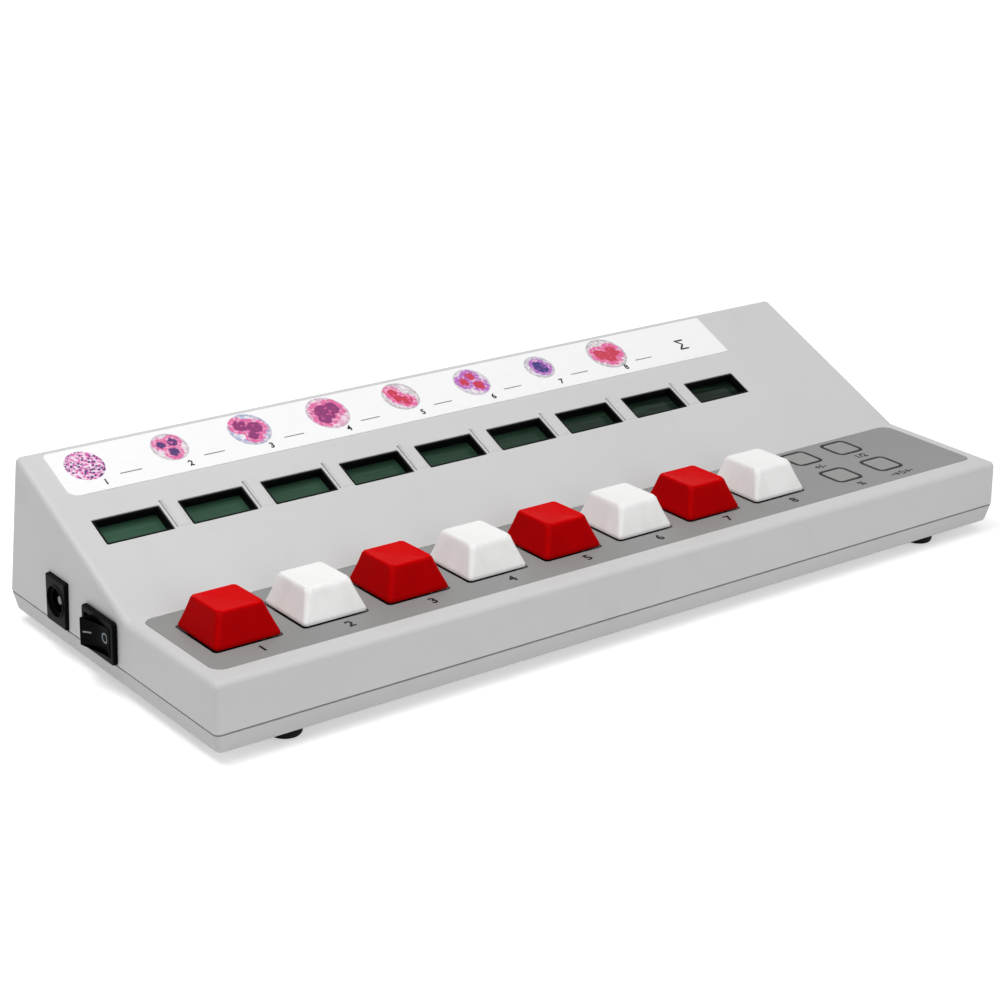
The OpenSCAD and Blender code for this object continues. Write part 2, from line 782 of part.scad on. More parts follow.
function beside(p, t, off) = let (h = heading(p, t)) curve(p, t) + off * [-h.y, h.x] / norm(h);

module ribbon_cable() {
  steps = 16;
  color("#9a9da1") along_x(ribbon_x - ribbon_w / 2, ribbon_x + ribbon_w / 2) polygon(concat(
    [for (k = [0 : steps]) beside(ribbon_route, k / steps, ribbon_t / 2)],
    [for (k = [steps : -1 : 0]) beside(ribbon_route, k / steps, -ribbon_t / 2)]
  ));
}

module ribbon_headers() {
  color("#222326") {
    box_at(ribbon_x, low_header_y, board_top, low_header.x, low_header.y, low_header.z);
    on_slope() box_at(ribbon_x, ribbon_s, display_board_z - high_header.z,
                      high_header.x, high_header.y, high_header.z);
  }
}

// ---- key switches ----
switch_floor = 1;
flange = 0.8;
top_z = board_top + switch_base_h;
stem_top = top_z + switch_top_h;
stem_h = 4.6;
stem_z = stem_top - stem_h;
shoulder = [8, 0.8];
neck = [11, 3.2];
well_r = 5.1;
hollow_h = 1.5;
spigot_r = 1.2;
// the stem's hollow meets the spigot where its travel ends
spigot_z = stem_z + hollow_h - key_travel - slide_gap;

module key_switch_bases() {
  color("#26272a") for (i = [0 : key_n - 1]) {
    translate([key_x(i), key_y, 0]) {
      difference() {
        box_at(0, 0, board_top, switch_w, switch_w, switch_base_h);
        translate([0, 0, board_top + switch_floor]) cylinder(r = well_r, h = switch_base_h);
      }
      translate([0, 0, board_top + switch_floor / 2]) {
        cylinder(r = spigot_r, h = spigot_z - board_top - switch_floor / 2);
      }
    }
  }
}

module key_switch_tops() {
  color("#34363a") for (i = [0 : key_n - 1]) {
    translate([key_x(i), key_y, 0]) difference() {
      union() {
        box_at(0, 0, top_z, switch_w + 2 * flange, switch_w + 2 * flange, 1);
        box_at(0, 0, top_z, switch_w - flange, switch_w - flange, switch_top_h - neck.y);
        box_at(0, 0, top_z, neck.x, neck.x, switch_top_h);
      }
      box_at(0, 0, top_z - cut, stem_w + 2 * slide_gap, stem_d + 2 * slide_gap,
             switch_top_h + 2 * cut);
      translate([0, 0, top_z - cut]) {
        cylinder(r = well_r, h = cut + stem_z + shoulder.y + slide_gap - top_z);
      }
    }
  }
}

module key_stem(i) {
  color("#7a4a2a") translate([key_x(i - 1), key_y, 0]) difference() {
    union() {
      box_at(0, 0, stem_z, stem_w, stem_d, stem_h);
      box_at(0, 0, stem_z, shoulder.x, stem_d, shoulder.y);
      cross_bars(stem_top, 0);
    }
    // the hollow that slides down over the switch's spigot
    translate([0, 0, stem_z - cut]) cylinder(r = spigot_r + slide_gap, h = cut + hollow_h);
  }
}

dish = 0.6;
dish_r = (pow(cap_top_w / 2, 2) + pow(dish, 2)) / (2 * dish);
post_r = 2.7;
cross = [4, 1.25];
module keycap(i) {
  base_z = deck_z + cap_lift;
  post_z = stem_top + turn_gap - base_z;
  cap_top_t = cap_wall + dish;
  color(i % 2 == 1 ? "#d8101c" : "#f7f7f5") translate([key_x(i - 1), key_y, base_z]) {
    difference() {
      cap_form(0, cap_h);
      cap_form(cap_wall, cap_h - cap_top_t);
      // the dished top
      translate([0, 0, cap_h - dish + dish_r]) rotate([90, 0, 0]) {
        cylinder(r = dish_r, h = 2 * cap_base, center = true, $fn = 180);
      }
    }
    difference() {
      translate([0, 0, post_z]) cylinder(r = post_r, h = cap_h - cap_top_t - post_z + dish / 2);
      cross_bars(stem_top - base_z, turn_gap);
    }
  }
}

// the cross that a keycap's post takes the stem by
module cross_bars(z, gap) {
  box_at(0, 0, z, cross.x + 2 * gap, cross.y + 2 * gap, cross_h + gap);
  box_at(0, 0, z, cross.y + 2 * gap - 0.15, cross.x + 2 * gap, cross_h + gap);
}

// the outside of a keycap, drawn in by t on each side, up to the height h
module cap_form(t, h) {
  k = h / cap_h;
  base = cap_base - 2 * t;
  top = [cap_base + k * (cap_top_w - cap_base) - 2 * t,
         cap_base + k * (cap_top_d - cap_base) - 2 * t];
  edge = 0.3;
  hull() {
    translate([0, 0, t > 0 ? -cut / 2 : 0]) slab(base, base, 0.8, edge, $fn = 16);
    translate([0, k * cap_back, h - edge]) slab(top.x, top.y, 1.2, edge, $fn = 16);
  }
}

// a coil whose wire is a chain of four-sided rings, from the base's floor to the stem
module key_spring(i) {
  ring_n = 12;
  z0 = board_top + switch_floor + spring_wire_r + turn_gap;
  rise = stem_z - spring_wire_r - turn_gap - z0;
  rings = spring_turns * ring_n;
  points = [
    for (k = [0 : rings])
      let (a = 360 * k / ring_n)
      for (c = [0 : 3])
        let (w = spring_wire_r * ray(45 + 90 * c))
        [(spring_r + w.x) * cos(a), (spring_r + w.x) * sin(a), z0 + rise * k / rings + w.y]
  ];
  color("#c4c7ca") translate([key_x(i - 1), key_y, 0]) polyhedron(
    points = points,
    faces = concat(
      [[0, 1, 2, 3]],
      [for (k = [0 : rings - 1]) for (c = [0 : 3])
        [4 * k + c, 4 * (k + 1) + c, 4 * (k + 1) + (c + 1) % 4, 4 * k + (c + 1) % 4]],
      [[4 * rings + 3, 4 * rings + 2, 4 * rings + 1, 4 * rings]]
    )
  );
}

// ---- rocker switch ----
paddle_h = bezel_h - 2 * bezel_rim - 1;
paddle_hub = 2.6; // half the width of the paddle at its pivot
cavity_depth = pivot_in + paddle_hub + 1.4;
module rocker_housing() {
  color("#131315") translate([0, rocker_y, rocker_z]) difference() {
    union() {
      translate([-bezel_t, 0, 0]) rotate([0, 90, 0]) slab(bezel_h, bezel_w, 1, bezel_t);
      translate([-bezel_t / 2, -rocker_body_w / 2, -rocker_body_h / 2]) {
        cube([bezel_t / 2 + rocker_depth, rocker_body_w, rocker_body_h]);
      }
    }
    box_at(-bezel_t - cut, 0, -paddle_h / 2 - slide_gap, 2 * (bezel_t + cut),
           bezel_w - 2 * bezel_rim, paddle_h + 2 * slide_gap);
    box_at(0, 0, -paddle_h / 2 - slide_gap, 2 * cavity_depth,
           rocker_body_w - 2 * rocker_wall, paddle_h + 2 * slide_gap);
    translate([pivot_in, 0, 0]) {
      cylinder(r = pivot_r + turn_gap, h = rocker_body_h - rocker_wall, center = true);
    }
  }
}

// drawn level, then turned to rest with its rear end raised
module rocker_paddle() {
  tip = paddle_r * ray(180 - tip_deg);
  shank = paddle_half - pivot_in;
  color("#19191b") translate([pivot_in, rocker_y, rocker_z]) rotate([0, 0, rocker_swing / 2]) {
    linear_extrude(paddle_h, center = true) polygon([
      tip, [-pivot_in - 0.9, 0], [tip.x, -tip.y], [-0.5, -shank], [pivot_in, -paddle_hub],
      [pivot_in, paddle_hub], [-0.5, shank]
    ]);
    cylinder(r = pivot_r, h = rocker_body_h - rocker_wall - 2 * slide_gap, center = true);
  }
}

terminal_w = 4.8;
terminal_t = 0.8;
terminal_dy = 3.5;
module rocker_terminals() {
  color("#c9a24a") for (s = [-1, 1]) {
    box_at(rocker_depth + terminal_l / 2, rocker_y + s * terminal_dy, rocker_z - terminal_w / 2,
           terminal_l, terminal_t, terminal_w);
  }
}

// ---- power socket ----
jack_z = seam_z + jack_h / 2 + slide_gap;
jack_back = jack_depth - jack_out;
pin_root_r = jack_pin_r + 0.6;
pin_tail_x = jack_back + 2;
tab = [4, 0.6, 3];
tab_dy = 3.4;
mouth = [0.8, 0.6]; // width and depth of the step round the bore
module power_socket_body() {
  color("#18181a") difference() {
    union() {
      translate([-jack_out, jack_y - jack_w / 2, socket_z]) cube([jack_depth, jack_w, jack_h]);
      // a flange that lies against the inside of the wall
      translate([wall + slide_gap, jack_y - jack_w / 2 - socket_flange, socket_z]) {
        cube([socket_flange, jack_w + 2 * socket_flange, jack_h]);
      }
    }
    translate([-jack_out - cut, jack_y, jack_z]) rotate([0, 90, 0]) {
      cylinder(r = jack_bore_r, h = jack_bore_depth + cut);
      cylinder(r = jack_bore_r + mouth.x, h = cut + mouth.y);
      cylinder(r = pin_root_r + turn_gap, h = jack_depth + 2 * cut);
    }
  }
}

module power_socket_pin() {
  tip_x = -jack_out + jack_pin_back;
  root_x = -jack_out + jack_bore_depth;
  color("#c4c7ca") translate([0, jack_y, jack_z]) rotate([0, 90, 0]) {
    translate([0, 0, tip_x]) cylinder(r = jack_pin_r, h = root_x - tip_x);
    translate([0, 0, root_x]) cylinder(r = pin_root_r, h = pin_tail_x - root_x);
  }
}

module power_socket_tabs() {
  color("#c4c7ca") for (s = [-1, 1]) {
    box_at(jack_back + tab.x / 2, jack_y + s * tab_dy, jack_z - tab.z / 2, tab.x, tab.y, tab.z);
  }
}

// ---- leads: socket to switch, switch to board, socket to board ----
module lead(route) {
  for (k = [0 : len(route) - 2]) {
    hull() {
      translate(route[k]) sphere(lead_r, $fn = 16);
      translate(route[k + 1]) sphere(lead_r, $fn = 16);
    }
  }
}

module power_leads() {
  pin_end = pin_tail_x + lead_r;
  tab_end = jack_back + tab.x + lead_r;
  terminal_end = terminal_tail_x + lead_r;
  pad_x = board_step.x + 3 * lead_r;
  pad_z = board_top + lead_r;
  color("#b5222a") lead([
    [pin_end, jack_y, jack_z], [pin_end + lead_turn, jack_y, jack_z],
    [terminal_end + lead_turn, rocker_y + terminal_dy, rocker_z],
    [terminal_end, rocker_y + terminal_dy, rocker_z]
  ]);
  color("#b5222a") lead([
    [terminal_end, rocker_y - terminal_dy, rocker_z],
    [pad_x + lead_turn, rocker_y - terminal_dy, rocker_z],
    [pad_x + lead_turn, rocker_y - terminal_dy, pad_z]
  ]);
  color("#202124") lead([
    [tab_end, jack_y - tab_dy, jack_z], [pad_x, jack_y - tab_dy, jack_z],
    [pad_x, rear_row_y, jack_z], [pad_x, rear_row_y, pad_z]
  ]);
}

at_origin() lower_case();
at_origin() upper_case();
at_origin() rubber_feet();
at_origin() case_screws();
at_origin() label_strip();
at_origin() overlay_film();
at_origin() overlay_spacer();
at_origin() display_surrounds();
at_origin() display_glasses();
at_origin() display_board();
at_origin() display_board_screws();
at_origin() main_board();
at_origin() main_board_screws();
at_origin() key_switch_bases();
at_origin() key_switch_tops();
at_origin() tact_switch_bodies();
at_origin() rocker_housing();
at_origin() rocker_paddle();
at_origin() rocker_terminals();
at_origin() power_socket_body();
at_origin() power_socket_pin();
at_origin() power_socket_tabs();
at_origin() microcontroller();
at_origin() sounder();
at_origin() capacitors();
at_origin() ribbon_cable();
at_origin() ribbon_headers();
at_origin() power_leads();
at_origin() sign_button();
at_origin() mode_button();
at_origin() percent_button();
at_origin() reset_button();
at_origin() sign_plunger();
at_origin() mode_plunger();
at_origin() percent_plunger();
at_origin() reset_plunger();
for (i = [1 : key_n]) {
  at_origin() keycap(i);
  at_origin() key_stem(i);
  at_origin() key_spring(i);
}
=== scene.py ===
import math

import bmesh
import bpy
import numpy as np
from mathutils import Matrix, Vector


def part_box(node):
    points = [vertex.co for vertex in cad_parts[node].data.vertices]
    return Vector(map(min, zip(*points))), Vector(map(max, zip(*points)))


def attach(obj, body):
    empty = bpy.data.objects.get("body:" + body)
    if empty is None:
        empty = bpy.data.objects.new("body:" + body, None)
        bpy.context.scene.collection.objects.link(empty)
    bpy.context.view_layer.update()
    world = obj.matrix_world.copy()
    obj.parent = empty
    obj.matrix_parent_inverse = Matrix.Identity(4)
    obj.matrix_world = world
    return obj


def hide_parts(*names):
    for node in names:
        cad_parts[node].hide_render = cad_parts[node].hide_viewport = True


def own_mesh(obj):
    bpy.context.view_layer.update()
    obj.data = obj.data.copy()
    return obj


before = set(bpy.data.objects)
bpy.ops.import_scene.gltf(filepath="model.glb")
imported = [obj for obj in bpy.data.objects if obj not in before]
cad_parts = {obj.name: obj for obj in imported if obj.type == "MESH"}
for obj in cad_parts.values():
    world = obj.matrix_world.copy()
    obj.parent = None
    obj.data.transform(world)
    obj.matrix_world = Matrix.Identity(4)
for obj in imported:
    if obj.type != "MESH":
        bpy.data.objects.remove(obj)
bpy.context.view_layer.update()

# Places are in millimetres of the case: x from its left side, y from its front, z from the bench.
# The corner carries them into the shared frame, in metres.
corner = np.array([*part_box("upper_case")[0][:2], 0.0])

# The upper half leans in by rearLean and the tray by baseDraft over their whole height, and
# the sides by sideDraft every 100 mm.
case = {
    "width": 260.0, "depth": 102.0, "foot": 3.0, "seam": 8.6, "deck": 21.2, "deckDepth": 40.9,
    "slope": 24.0, "rearLean": 4.5, "sideDraft": 2.5, "baseDraft": 1.2, "wall": 2.2, "floor": 5.2,
    "edge": 1.6, "cove": 2.0, "recess": 1.0, "arcSteps": 8, "baseEdge": 0.9,
    "groove": 0.5, "grooveDepth": 1.5, "lipInset": 2.35, "lipThick": 1.0, "lipHigh": 2.0,
    "pillar": 3.4, "screwBore": 1.5, "footX": [23.0, 237.0], "footY": [7.5, 93.0],
}
keyRow = {"first": 18.4, "pitch": 24.3, "count": 8, "line": 24.2, "rise": 0}
windowRow = {"first": 18.0, "pitch": 24.3, "count": 9, "line": 29.85, "rise": 0, "wide": 19.0,
             "high": 8.9, "softening": 0.28}
buttons = {"size": 9.7, "radius": 2.05, "line": 0.95, "top": 21.0, "x": [214.7, 231.0],
           "y": [34.0, 18.1], "names": ["sign", "mode", "percent", "reset"]}
footSpots = [[x, y, 0] for x in case["footX"] for y in case["footY"]]
buttonSpots = [[x, y, 0] for y in buttons["y"] for x in buttons["x"]]


# The places in a row: at its pitch from the first one, all shifted by a part of the pitch.
def spots(row, part=0):
    return [[row["first"] + (i + part) * row["pitch"], row["line"], row["rise"]]
            for i in range(row["count"])]


def toFrame(points):
    return np.asarray(points, float) / 1000 + corner


# How a soft edge goes round a quarter circle: the pairs radius (1 - cos) and radius (1 - sin).
def quarter(radius, steps=4):
    turn = np.radians(np.linspace(0, 90, steps + 1))
    return np.column_stack([radius * (1 - np.cos(turn)), radius * (1 - np.sin(turn))])


# A ring round a rectangle: four quarter turns of the corner radius (one, or one for each
# corner from the far right round to the near right), each centred that radius in from both
# sides.
def roundRing(wide, deep, radius, steps=6, middle=(0, 0)):
    turn = np.radians(np.linspace(0, 90, steps + 1))
    turn = turn[None, :] + np.radians([0, 90, 180, 270])[:, None]
    signs = np.array([[1, 1], [-1, 1], [-1, -1], [1, -1]])
    radius = np.broadcast_to(radius, 4)[:, None]
    centres = signs * (np.array([wide, deep]) / 2 - radius)
    ring = centres[:, None, :] + radius[:, :, None] * np.stack([np.cos(turn), np.sin(turn)], -1)
    return ring.reshape(-1, 2) + middle


# A ring lifted to one height.
def lifted(ring, height):
    return np.column_stack([ring, np.broadcast_to(height, len(ring))])


# A surface through equal rings, with four-sided faces between each ring and the next. Its
# ends are closed by caps, or the last ring joins the first.
def loft(rings, ends="caps"):
    rings = np.asarray(rings, float)
    m, n, _ = rings.shape
    first = np.arange(m if ends == "loop" else m - 1)[:, None] * n
    across, step = np.arange(n)[None, :], np.arange(1, n + 1)[None, :] % n
    nextRing = (first + n) % (m * n)
    faces = np.stack([first + across, first + step, nextRing + step, nextRing + across], -1)
    faces = faces.reshape(-1, 4).tolist()
    if ends == "caps":
        faces += [list(range(n - 1, -1, -1)), list(range((m - 1) * n, m * n))]
    return rings.reshape(-1, 3), faces


# A surface through rounded rectangles: rows of height, two sizes and corner radius.
def stacked(rows, steps=6, ends="caps"):
    return loft([lifted(roundRing(wide, deep, radius, steps), z)
                 for z, wide, deep, radius in rows], ends)


# A surface through circles: rows of height and radius.
def turned(rows, steps=6, ends="caps"):
    return stacked([(z, 2 * r, 2 * r, r) for z, r in rows], steps, ends)


def roundBar(radius, low, high):
    return turned([(low, radius), (high, radius)], 8)


def plainBlock(low, high):
    low, high = np.array(low, float), np.array(high, float)
    size, middle = high - low, (low + high)[:2] / 2
    corners = np.array([[1, 1], [-1, 1], [-1, -1], [1, -1]]) * size[:2] / 2 + middle
    return loft([lifted(corners, z) for z in (low[2], high[2])])


# Several shells in one.
def together(shells):
    points, faces, start = [], [], 0
    for p, f in shells:
        points.append(p)
        faces += [[v + start for v in face] for face in f]
        start += len(p)
    return np.concatenate(points), faces


def shifted(shell, place):
    return shell[0] + np.asarray(place, float), shell[1]


def repeated(shell, places):
    return together([shifted(shell, place) for place in places])


# Onto the sloped face: across, up the slope from its foot, and out of it.
def onSlope(shell):
    a = math.radians(case["slope"])
    x, s, w = shell[0].T
    return np.column_stack([x, case["deckDepth"] + s * math.cos(a) - w * math.sin(a),
                            case["deck"] + s * math.sin(a) + w * math.cos(a)]), shell[1]


# Onto the left side: across towards the front, up, and out to the left.
def onSide(shell, y, z):
    a, b, w = shell[0].T
    return np.column_stack([-w, y - a, z + b]), shell[1]


def linked(name, data):
    made = bpy.data.objects.new(name, data)
    bpy.context.scene.collection.objects.link(made)
    return made


def meshObject(name, shell):
    mesh = bpy.data.meshes.new(name)
    mesh.from_pydata(toFrame(shell[0]).tolist(), [], shell[1])
    return linked(name, mesh)


# A piece with its finish, on its body. It is shaded smooth where it bends less than sharp
# degrees, and even keeps its wide flat faces flat while the narrow rounded ones turn
# between them.
def finished(made, finish, body, slot, standsFor=(), sharp=None, even=False):
    if sharp:
        made.data.shade_smooth()
        made.data.set_sharp_from_angle(angle=math.radians(sharp))
    if even:
        made.modifiers.new("evenNormals", "WEIGHTED_NORMAL").keep_sharp = True
    made.data.materials.clear()
    made.data.materials.append(finish)
    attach(made, body)
    if standsFor:
        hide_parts(*standsFor)
    return made


def piece(name, shell, *looks):
    return finished(meshObject(name, shell), *looks)


def evaluatedMesh(made):
    return bpy.data.meshes.new_from_object(
        made.evaluated_get(bpy.context.evaluated_depsgraph_get()))


# base joined with shells, or cut by them
def combined(base, shells, operation):
    tool = meshObject("tool", together(shells))
    step = base.modifiers.new("step", "BOOLEAN")
    step.operation, step.object, step.solver = operation, tool, "MANIFOLD"
    made = evaluatedMesh(base)
    base.modifiers.clear()
    base.data = made
    bpy.data.objects.remove(tool)


# Points closer than 2 thousandths of a millimetre become one, and flat neighbours one face.
def cleaned(made):
    work = bmesh.new()
    work.from_mesh(made.data)
    bmesh.ops.remove_doubles(work, verts=work.verts, dist=2e-6)
    bmesh.ops.dissolve_limit(work, angle_limit=math.radians(0.2), verts=work.verts,
                             edges=work.edges)
    work.to_mesh(made.data)
    work.free()


def ray(degrees):
    return np.array([math.cos(math.radians(degrees)), math.sin(math.radians(degrees))])


# A straight line of the case's outline: its outward direction, and how far out it lies.
def edgeLine(degrees, point, inset):
    return ray(degrees), ray(degrees) @ np.array(point) - inset


def meeting(a, b):
    return np.linalg.solve(np.array([a[0], b[0]]), [a[1], b[1]])


# The bend between two lines: a circle that touches both, round where the radius is
# positive and hollow where it is negative.
def bend(a, b, radius):
    middle = meeting(a, b) - radius * (a[0] + b[0]) / (1 + a[0] @ b[0])
    turns = [math.degrees(math.atan2(line[0][1], line[0][0])) for line in (a, b)]
    return [middle + radius * ray(t) for t in np.linspace(*turns, case["arcSteps"] + 1)]


slopeRise = math.tan(math.radians(case["slope"]))
rearTop = case["deck"] + (case["depth"] - case["rearLean"] - case["deckDepth"]) * slopeRise
rearLeanAngle = math.degrees(math.atan2(case["rearLean"], rearTop - case["seam"]))
sideLeanAngle = math.degrees(math.atan2(case["sideDraft"], 100))


# The seam, front, deck, slope and rear of the outline, drawn in by their insets.
def caseLines(inset, deckInset=None, seamInset=0):
    deckInset = inset if deckInset is None else deckInset
    seam, deck = case["seam"], case["deck"]
    return [edgeLine(-90, [0, seam], seamInset), edgeLine(180 - sideLeanAngle, [0, seam], inset),
            edgeLine(90, [0, deck], deckInset),
            edgeLine(90 + case["slope"], [case["deckDepth"], deck], inset),
            edgeLine(rearLeanAngle, [case["depth"], seam], inset)]


# The outline drawn in by an inset: front, round to the deck, hollow to the slope, round to
# the rear wall. A round edge loses nearly the inset from its radius.
def caseOutline(inset):
    seam, front, deck, slope, rear = caseLines(inset)
    soft = case["edge"] - 0.95 * inset
    return np.array([meeting(seam, front), *bend(front, deck, soft),
                     *bend(deck, slope, -case["cove"] - inset), *bend(slope, rear, soft),
                     meeting(rear, seam)])


# The wedge: the outline carried from the right side to the left. Near each side it is drawn
# in along a quarter circle, and each side leans in with height.
def wedge():
    left, right = [], []
    for along, inset in quarter(case["edge"], case["arcSteps"]):
        line = caseOutline(inset)
        lean = (line[:, 1] - case["seam"]) * case["sideDraft"] / 100
        left.append(np.column_stack([along + lean, line]))
        right.append(np.column_stack([case["width"] - along - lean, line]))
    return loft(right + left[::-1])


# The hollow of the wedge: straight lines a wall's thickness inside the outline, and open
# below the seam.
def hollow():
    wall = case["wall"]
    lines = caseLines(wall, wall + case["recess"], -1)
    line = np.array([meeting(a, b) for a, b in zip(lines, lines[1:] + lines[:1])])
    return loft([np.column_stack([np.full(5, x), line]) for x in (case["width"] - wall, wall)])


# A hole's cutter: straight sides that open out by a quarter circle at the face.
def softHole(wide, deep, radius, below, above, softening):
    rows = [(below, 0), *((-fall, out) for out, fall in quarter(softening)), (above, softening)]
    return stacked([(z, wide + 2 * out, deep + 2 * out, radius + out) for z, out in rows], 4)


# One output of a node, with arithmetic that adds Math nodes.
class Signal:
    def __init__(self, nodes, socket):
        self.nodes, self.socket = nodes, socket

    def math(self, operation, *others):
        return self.nodes.node("ShaderNodeMath", {"operation": operation},
                               dict(enumerate([self, *others])))

    def __add__(self, other):
        return self.math("ADD", other)

    def __sub__(self, other):
        return self.math("SUBTRACT", other)

    def __rsub__(self, other):
        return (self * -1) + other

    def __mul__(self, other):
        return self.math("MULTIPLY", other)

    __radd__, __rmul__ = __add__, __mul__

    # 0 below low, 1 above high, and a smooth step between
    def step(self, low, high):
        return self.nodes.node("ShaderNodeMapRange", {"interpolation_type": "SMOOTHSTEP"},
                               {"Value": self, "From Min": low, "From Max": high})

    def parts(self):
        made = self.nodes.node("ShaderNodeSeparateXYZ", {}, {0: self})
        return [Signal(self.nodes, s) for s in made.socket.node.outputs]


# The nodes of a tree.
class Nodes:
    def __init__(self, tree):
        self.tree = tree

    # Any node: its type, its settings, and the values or links of its sockets, by name,
    # identifier or number.
    def node(self, kind, settings=None, sockets=None, out=0):
        made = self.tree.nodes.new(kind)
        for key, value in (settings or {}).items():
            setattr(made, key, value)
        self.fill(made, sockets or {})
        return Signal(self, self.socket(made.outputs, out))

    def socket(self, sockets, key):
        if isinstance(key, int):
            return sockets[key]
        return next(s for s in sockets if key in (s.identifier, s.name) and s.enabled)

    def fill(self, node, sockets):
        for key, value in sockets.items():
            socket = self.socket(node.inputs, key)
            if isinstance(value, Signal):
                self.tree.links.new(value.socket, socket)
            else:
                socket.default_value = value

    # 1 for rays that look from the camera, in a reflection or through glass, 0 for the rest
    def looked(self):
        camera, glossy, through = [self.node("ShaderNodeLightPath", out="Is %s Ray" % kind)
                                   for kind in ("Camera", "Glossy", "Transmission")]
        return camera.math("MAXIMUM", glossy).math("MAXIMUM", through)


# A material's nodes, with the textures that the finishes share. Sizes are in millimetres.
class Finish(Nodes):
    def __init__(self, name):
        self.material = bpy.data.materials.new(name)
        self.material.use_nodes = True
        super().__init__(self.material.node_tree)
        self.shader = self.tree.nodes["Principled BSDF"]

    def place(self):
        return self.node("ShaderNodeTexCoord", out="Object")

    def attribute(self, name, out="Vector"):
        return self.node("ShaderNodeAttribute", {"attribute_name": name}, out=out)

    # cloudy noise with spots of about one size, drawn out along the axes
    def noise(self, size, detail=3.0, stretch=(1, 1, 1), where=None):
        where = self.place() if where is None else where
        scale = tuple(1000 / size / s for s in stretch)
        moved = self.node("ShaderNodeMapping", {}, {"Vector": where, "Scale": scale})
        return self.node("ShaderNodeTexNoise", {}, {"Vector": moved, "Scale": 1.0,
                                                    "Detail": detail, "Roughness": 0.5})

    def cells(self, size, where=None, feature="F1", randomness=1.0):
        where = self.place() if where is None else where
        return self.node("ShaderNodeTexVoronoi", {"feature": feature},
                         {"Vector": where, "Scale": 1000 / size, "Randomness": randomness})

    def bands(self, kind, way, where, scale):
        return self.node("ShaderNodeTexWave", {"wave_type": kind, kind.lower() + "_direction": way},
                         {"Vector": where, "Scale": scale})

    def mix(self, share, first, second):
        return self.node("ShaderNodeMix", {"data_type": "RGBA"},
                         {"Factor_Float": share, "A_Color": first, "B_Color": second},
                         out="Result_Color")

    # the shader's colour, roughness, bump (a height and how deep it goes), shine and metal
    def done(self, colour, roughness, height, depth, shine=0.5, metal=0.0):
        bump = self.node("ShaderNodeBump", {}, {"Strength": 1.0, "Distance": depth / 1000,
                                                "Height": height})
        self.fill(self.shader, {"Base Color": colour, "Roughness": roughness, "Normal": bump,
                                "Specular IOR Level": shine, "Metallic": metal})
        return self.material


# A colour as it is seen on a screen, 0 to 255, in the linear form that shaders take.
def tone(r, g, b):
    seen = np.array([r, g, b]) / 255
    flat = np.where(seen <= 0.04045, seen / 12.92, ((seen + 0.055) / 1.055) ** 2.4)
    return (*flat.tolist(), 1.0)


def scaled(colour, share):
    return (*[min(1.0, c * share) for c in colour[:3]], 1.0)


# Moulded plastic: a fine eroded grain, a slow drift of tone, and faint handling marks.
def mouldedPlastic(name, colour, gloss, grain, depth, drift, shine=0.3):
    f = Finish(name)
    fine, slow = f.noise(grain, 4.0), f.noise(38, 2.0)
    marks = f.noise(9, 5.0, (1, 3.2, 1)).step(0.56, 0.74)
    body = f.mix(slow.step(0.3, 0.7), scaled(colour, 1 - drift), scaled(colour, 1 + drift))
    body = f.mix(marks * 0.22, body, scaled(colour, 0.9))
    return f.done(body, fine * 0.16 + marks * 0.08 + (gloss - 0.1), fine, depth, shine)


# Keycap plastic: smooth, with a faint flow of the pigment, rubbed brighter where fingers reach. The
# dished top is painted in a lighter copy of the colour, a painted highlight for the light falling
# on it from above, which leaves the sides as painted shade. The wear attribute is 1 along the
# edges, and the top attribute 1 on the dished top, where the painted light goes.
def keycapPlastic(name, colour, litTopColour, shine):
    f = Finish(name)
    wear, top, fine = f.attribute("wear", "Fac"), f.attribute("top", "Fac"), f.noise(0.4, 3.0)
    flow = f.noise(5.5, 4.0, (1, 1, 2.5))
    rubbed = (f.noise(2.4, 3.0).step(0.35, 0.7) * 0.6 + 0.4) * wear
    body = f.mix(flow.step(0.25, 0.75), scaled(colour, 0.94), scaled(colour, 1.05))
    # the dished top takes the lighter copy as painted light from above; the rubbed edges lean
    # towards it as real wear
    body = f.mix(rubbed * 0.4 + top * 0.9, body, f.mix(flow, litTopColour, scaled(litTopColour, 0.94)))
    return f.done(body, fine * 0.14 + flow * 0.1 + (rubbed * -0.12) + 0.36, fine, 0.006, shine)


# Printed polycarbonate film: a fine crossed texture under a flat tone.
def overlayPrint(name, colour):
    f = Finish(name)
    weave = f.noise(0.5, 2.0, (3, 1, 1)) + f.noise(0.5, 2.0, (1, 3, 1))
    slow = f.noise(30, 3.0)
    body = f.mix(slow.step(0.3, 0.7), scaled(colour, 0.96), scaled(colour, 1.05))
    body = f.mix(weave.step(0.8, 1.25) * 0.1, body, scaled(colour, 1.25))
    return f.done(body, weave * 0.1 + slow * 0.08 + 0.34, weave, 0.008, 0.2)


# Glossy printed label stock: a barely seen fibre and a soft waviness.
def labelStock(name, colour):
    f = Finish(name)
    fibre, wave = f.noise(0.7, 5.0, (4, 1, 1)), f.noise(14, 2.0)
    body = f.mix(fibre.step(0.35, 0.7), scaled(colour, 0.985), scaled(colour, 1.01))
    body = f.mix(wave.step(0.45, 0.75) * 0.3, body, scaled(colour, 0.965))
    return f.done(body, fibre * 0.1 + wave * 0.1 + 0.22, wave + fibre * 0.05, 0.02)


# Printing ink: nearly even, thinner in specks.
def ink(name, colour, thin):
    f = Finish(name)
    specks = f.noise(0.35, 3.0).step(0.5, 0.8)
    return f.done(f.mix(specks * 0.35, colour, thin), specks * 0.2 + 0.4, specks, 0.003, 0.1)
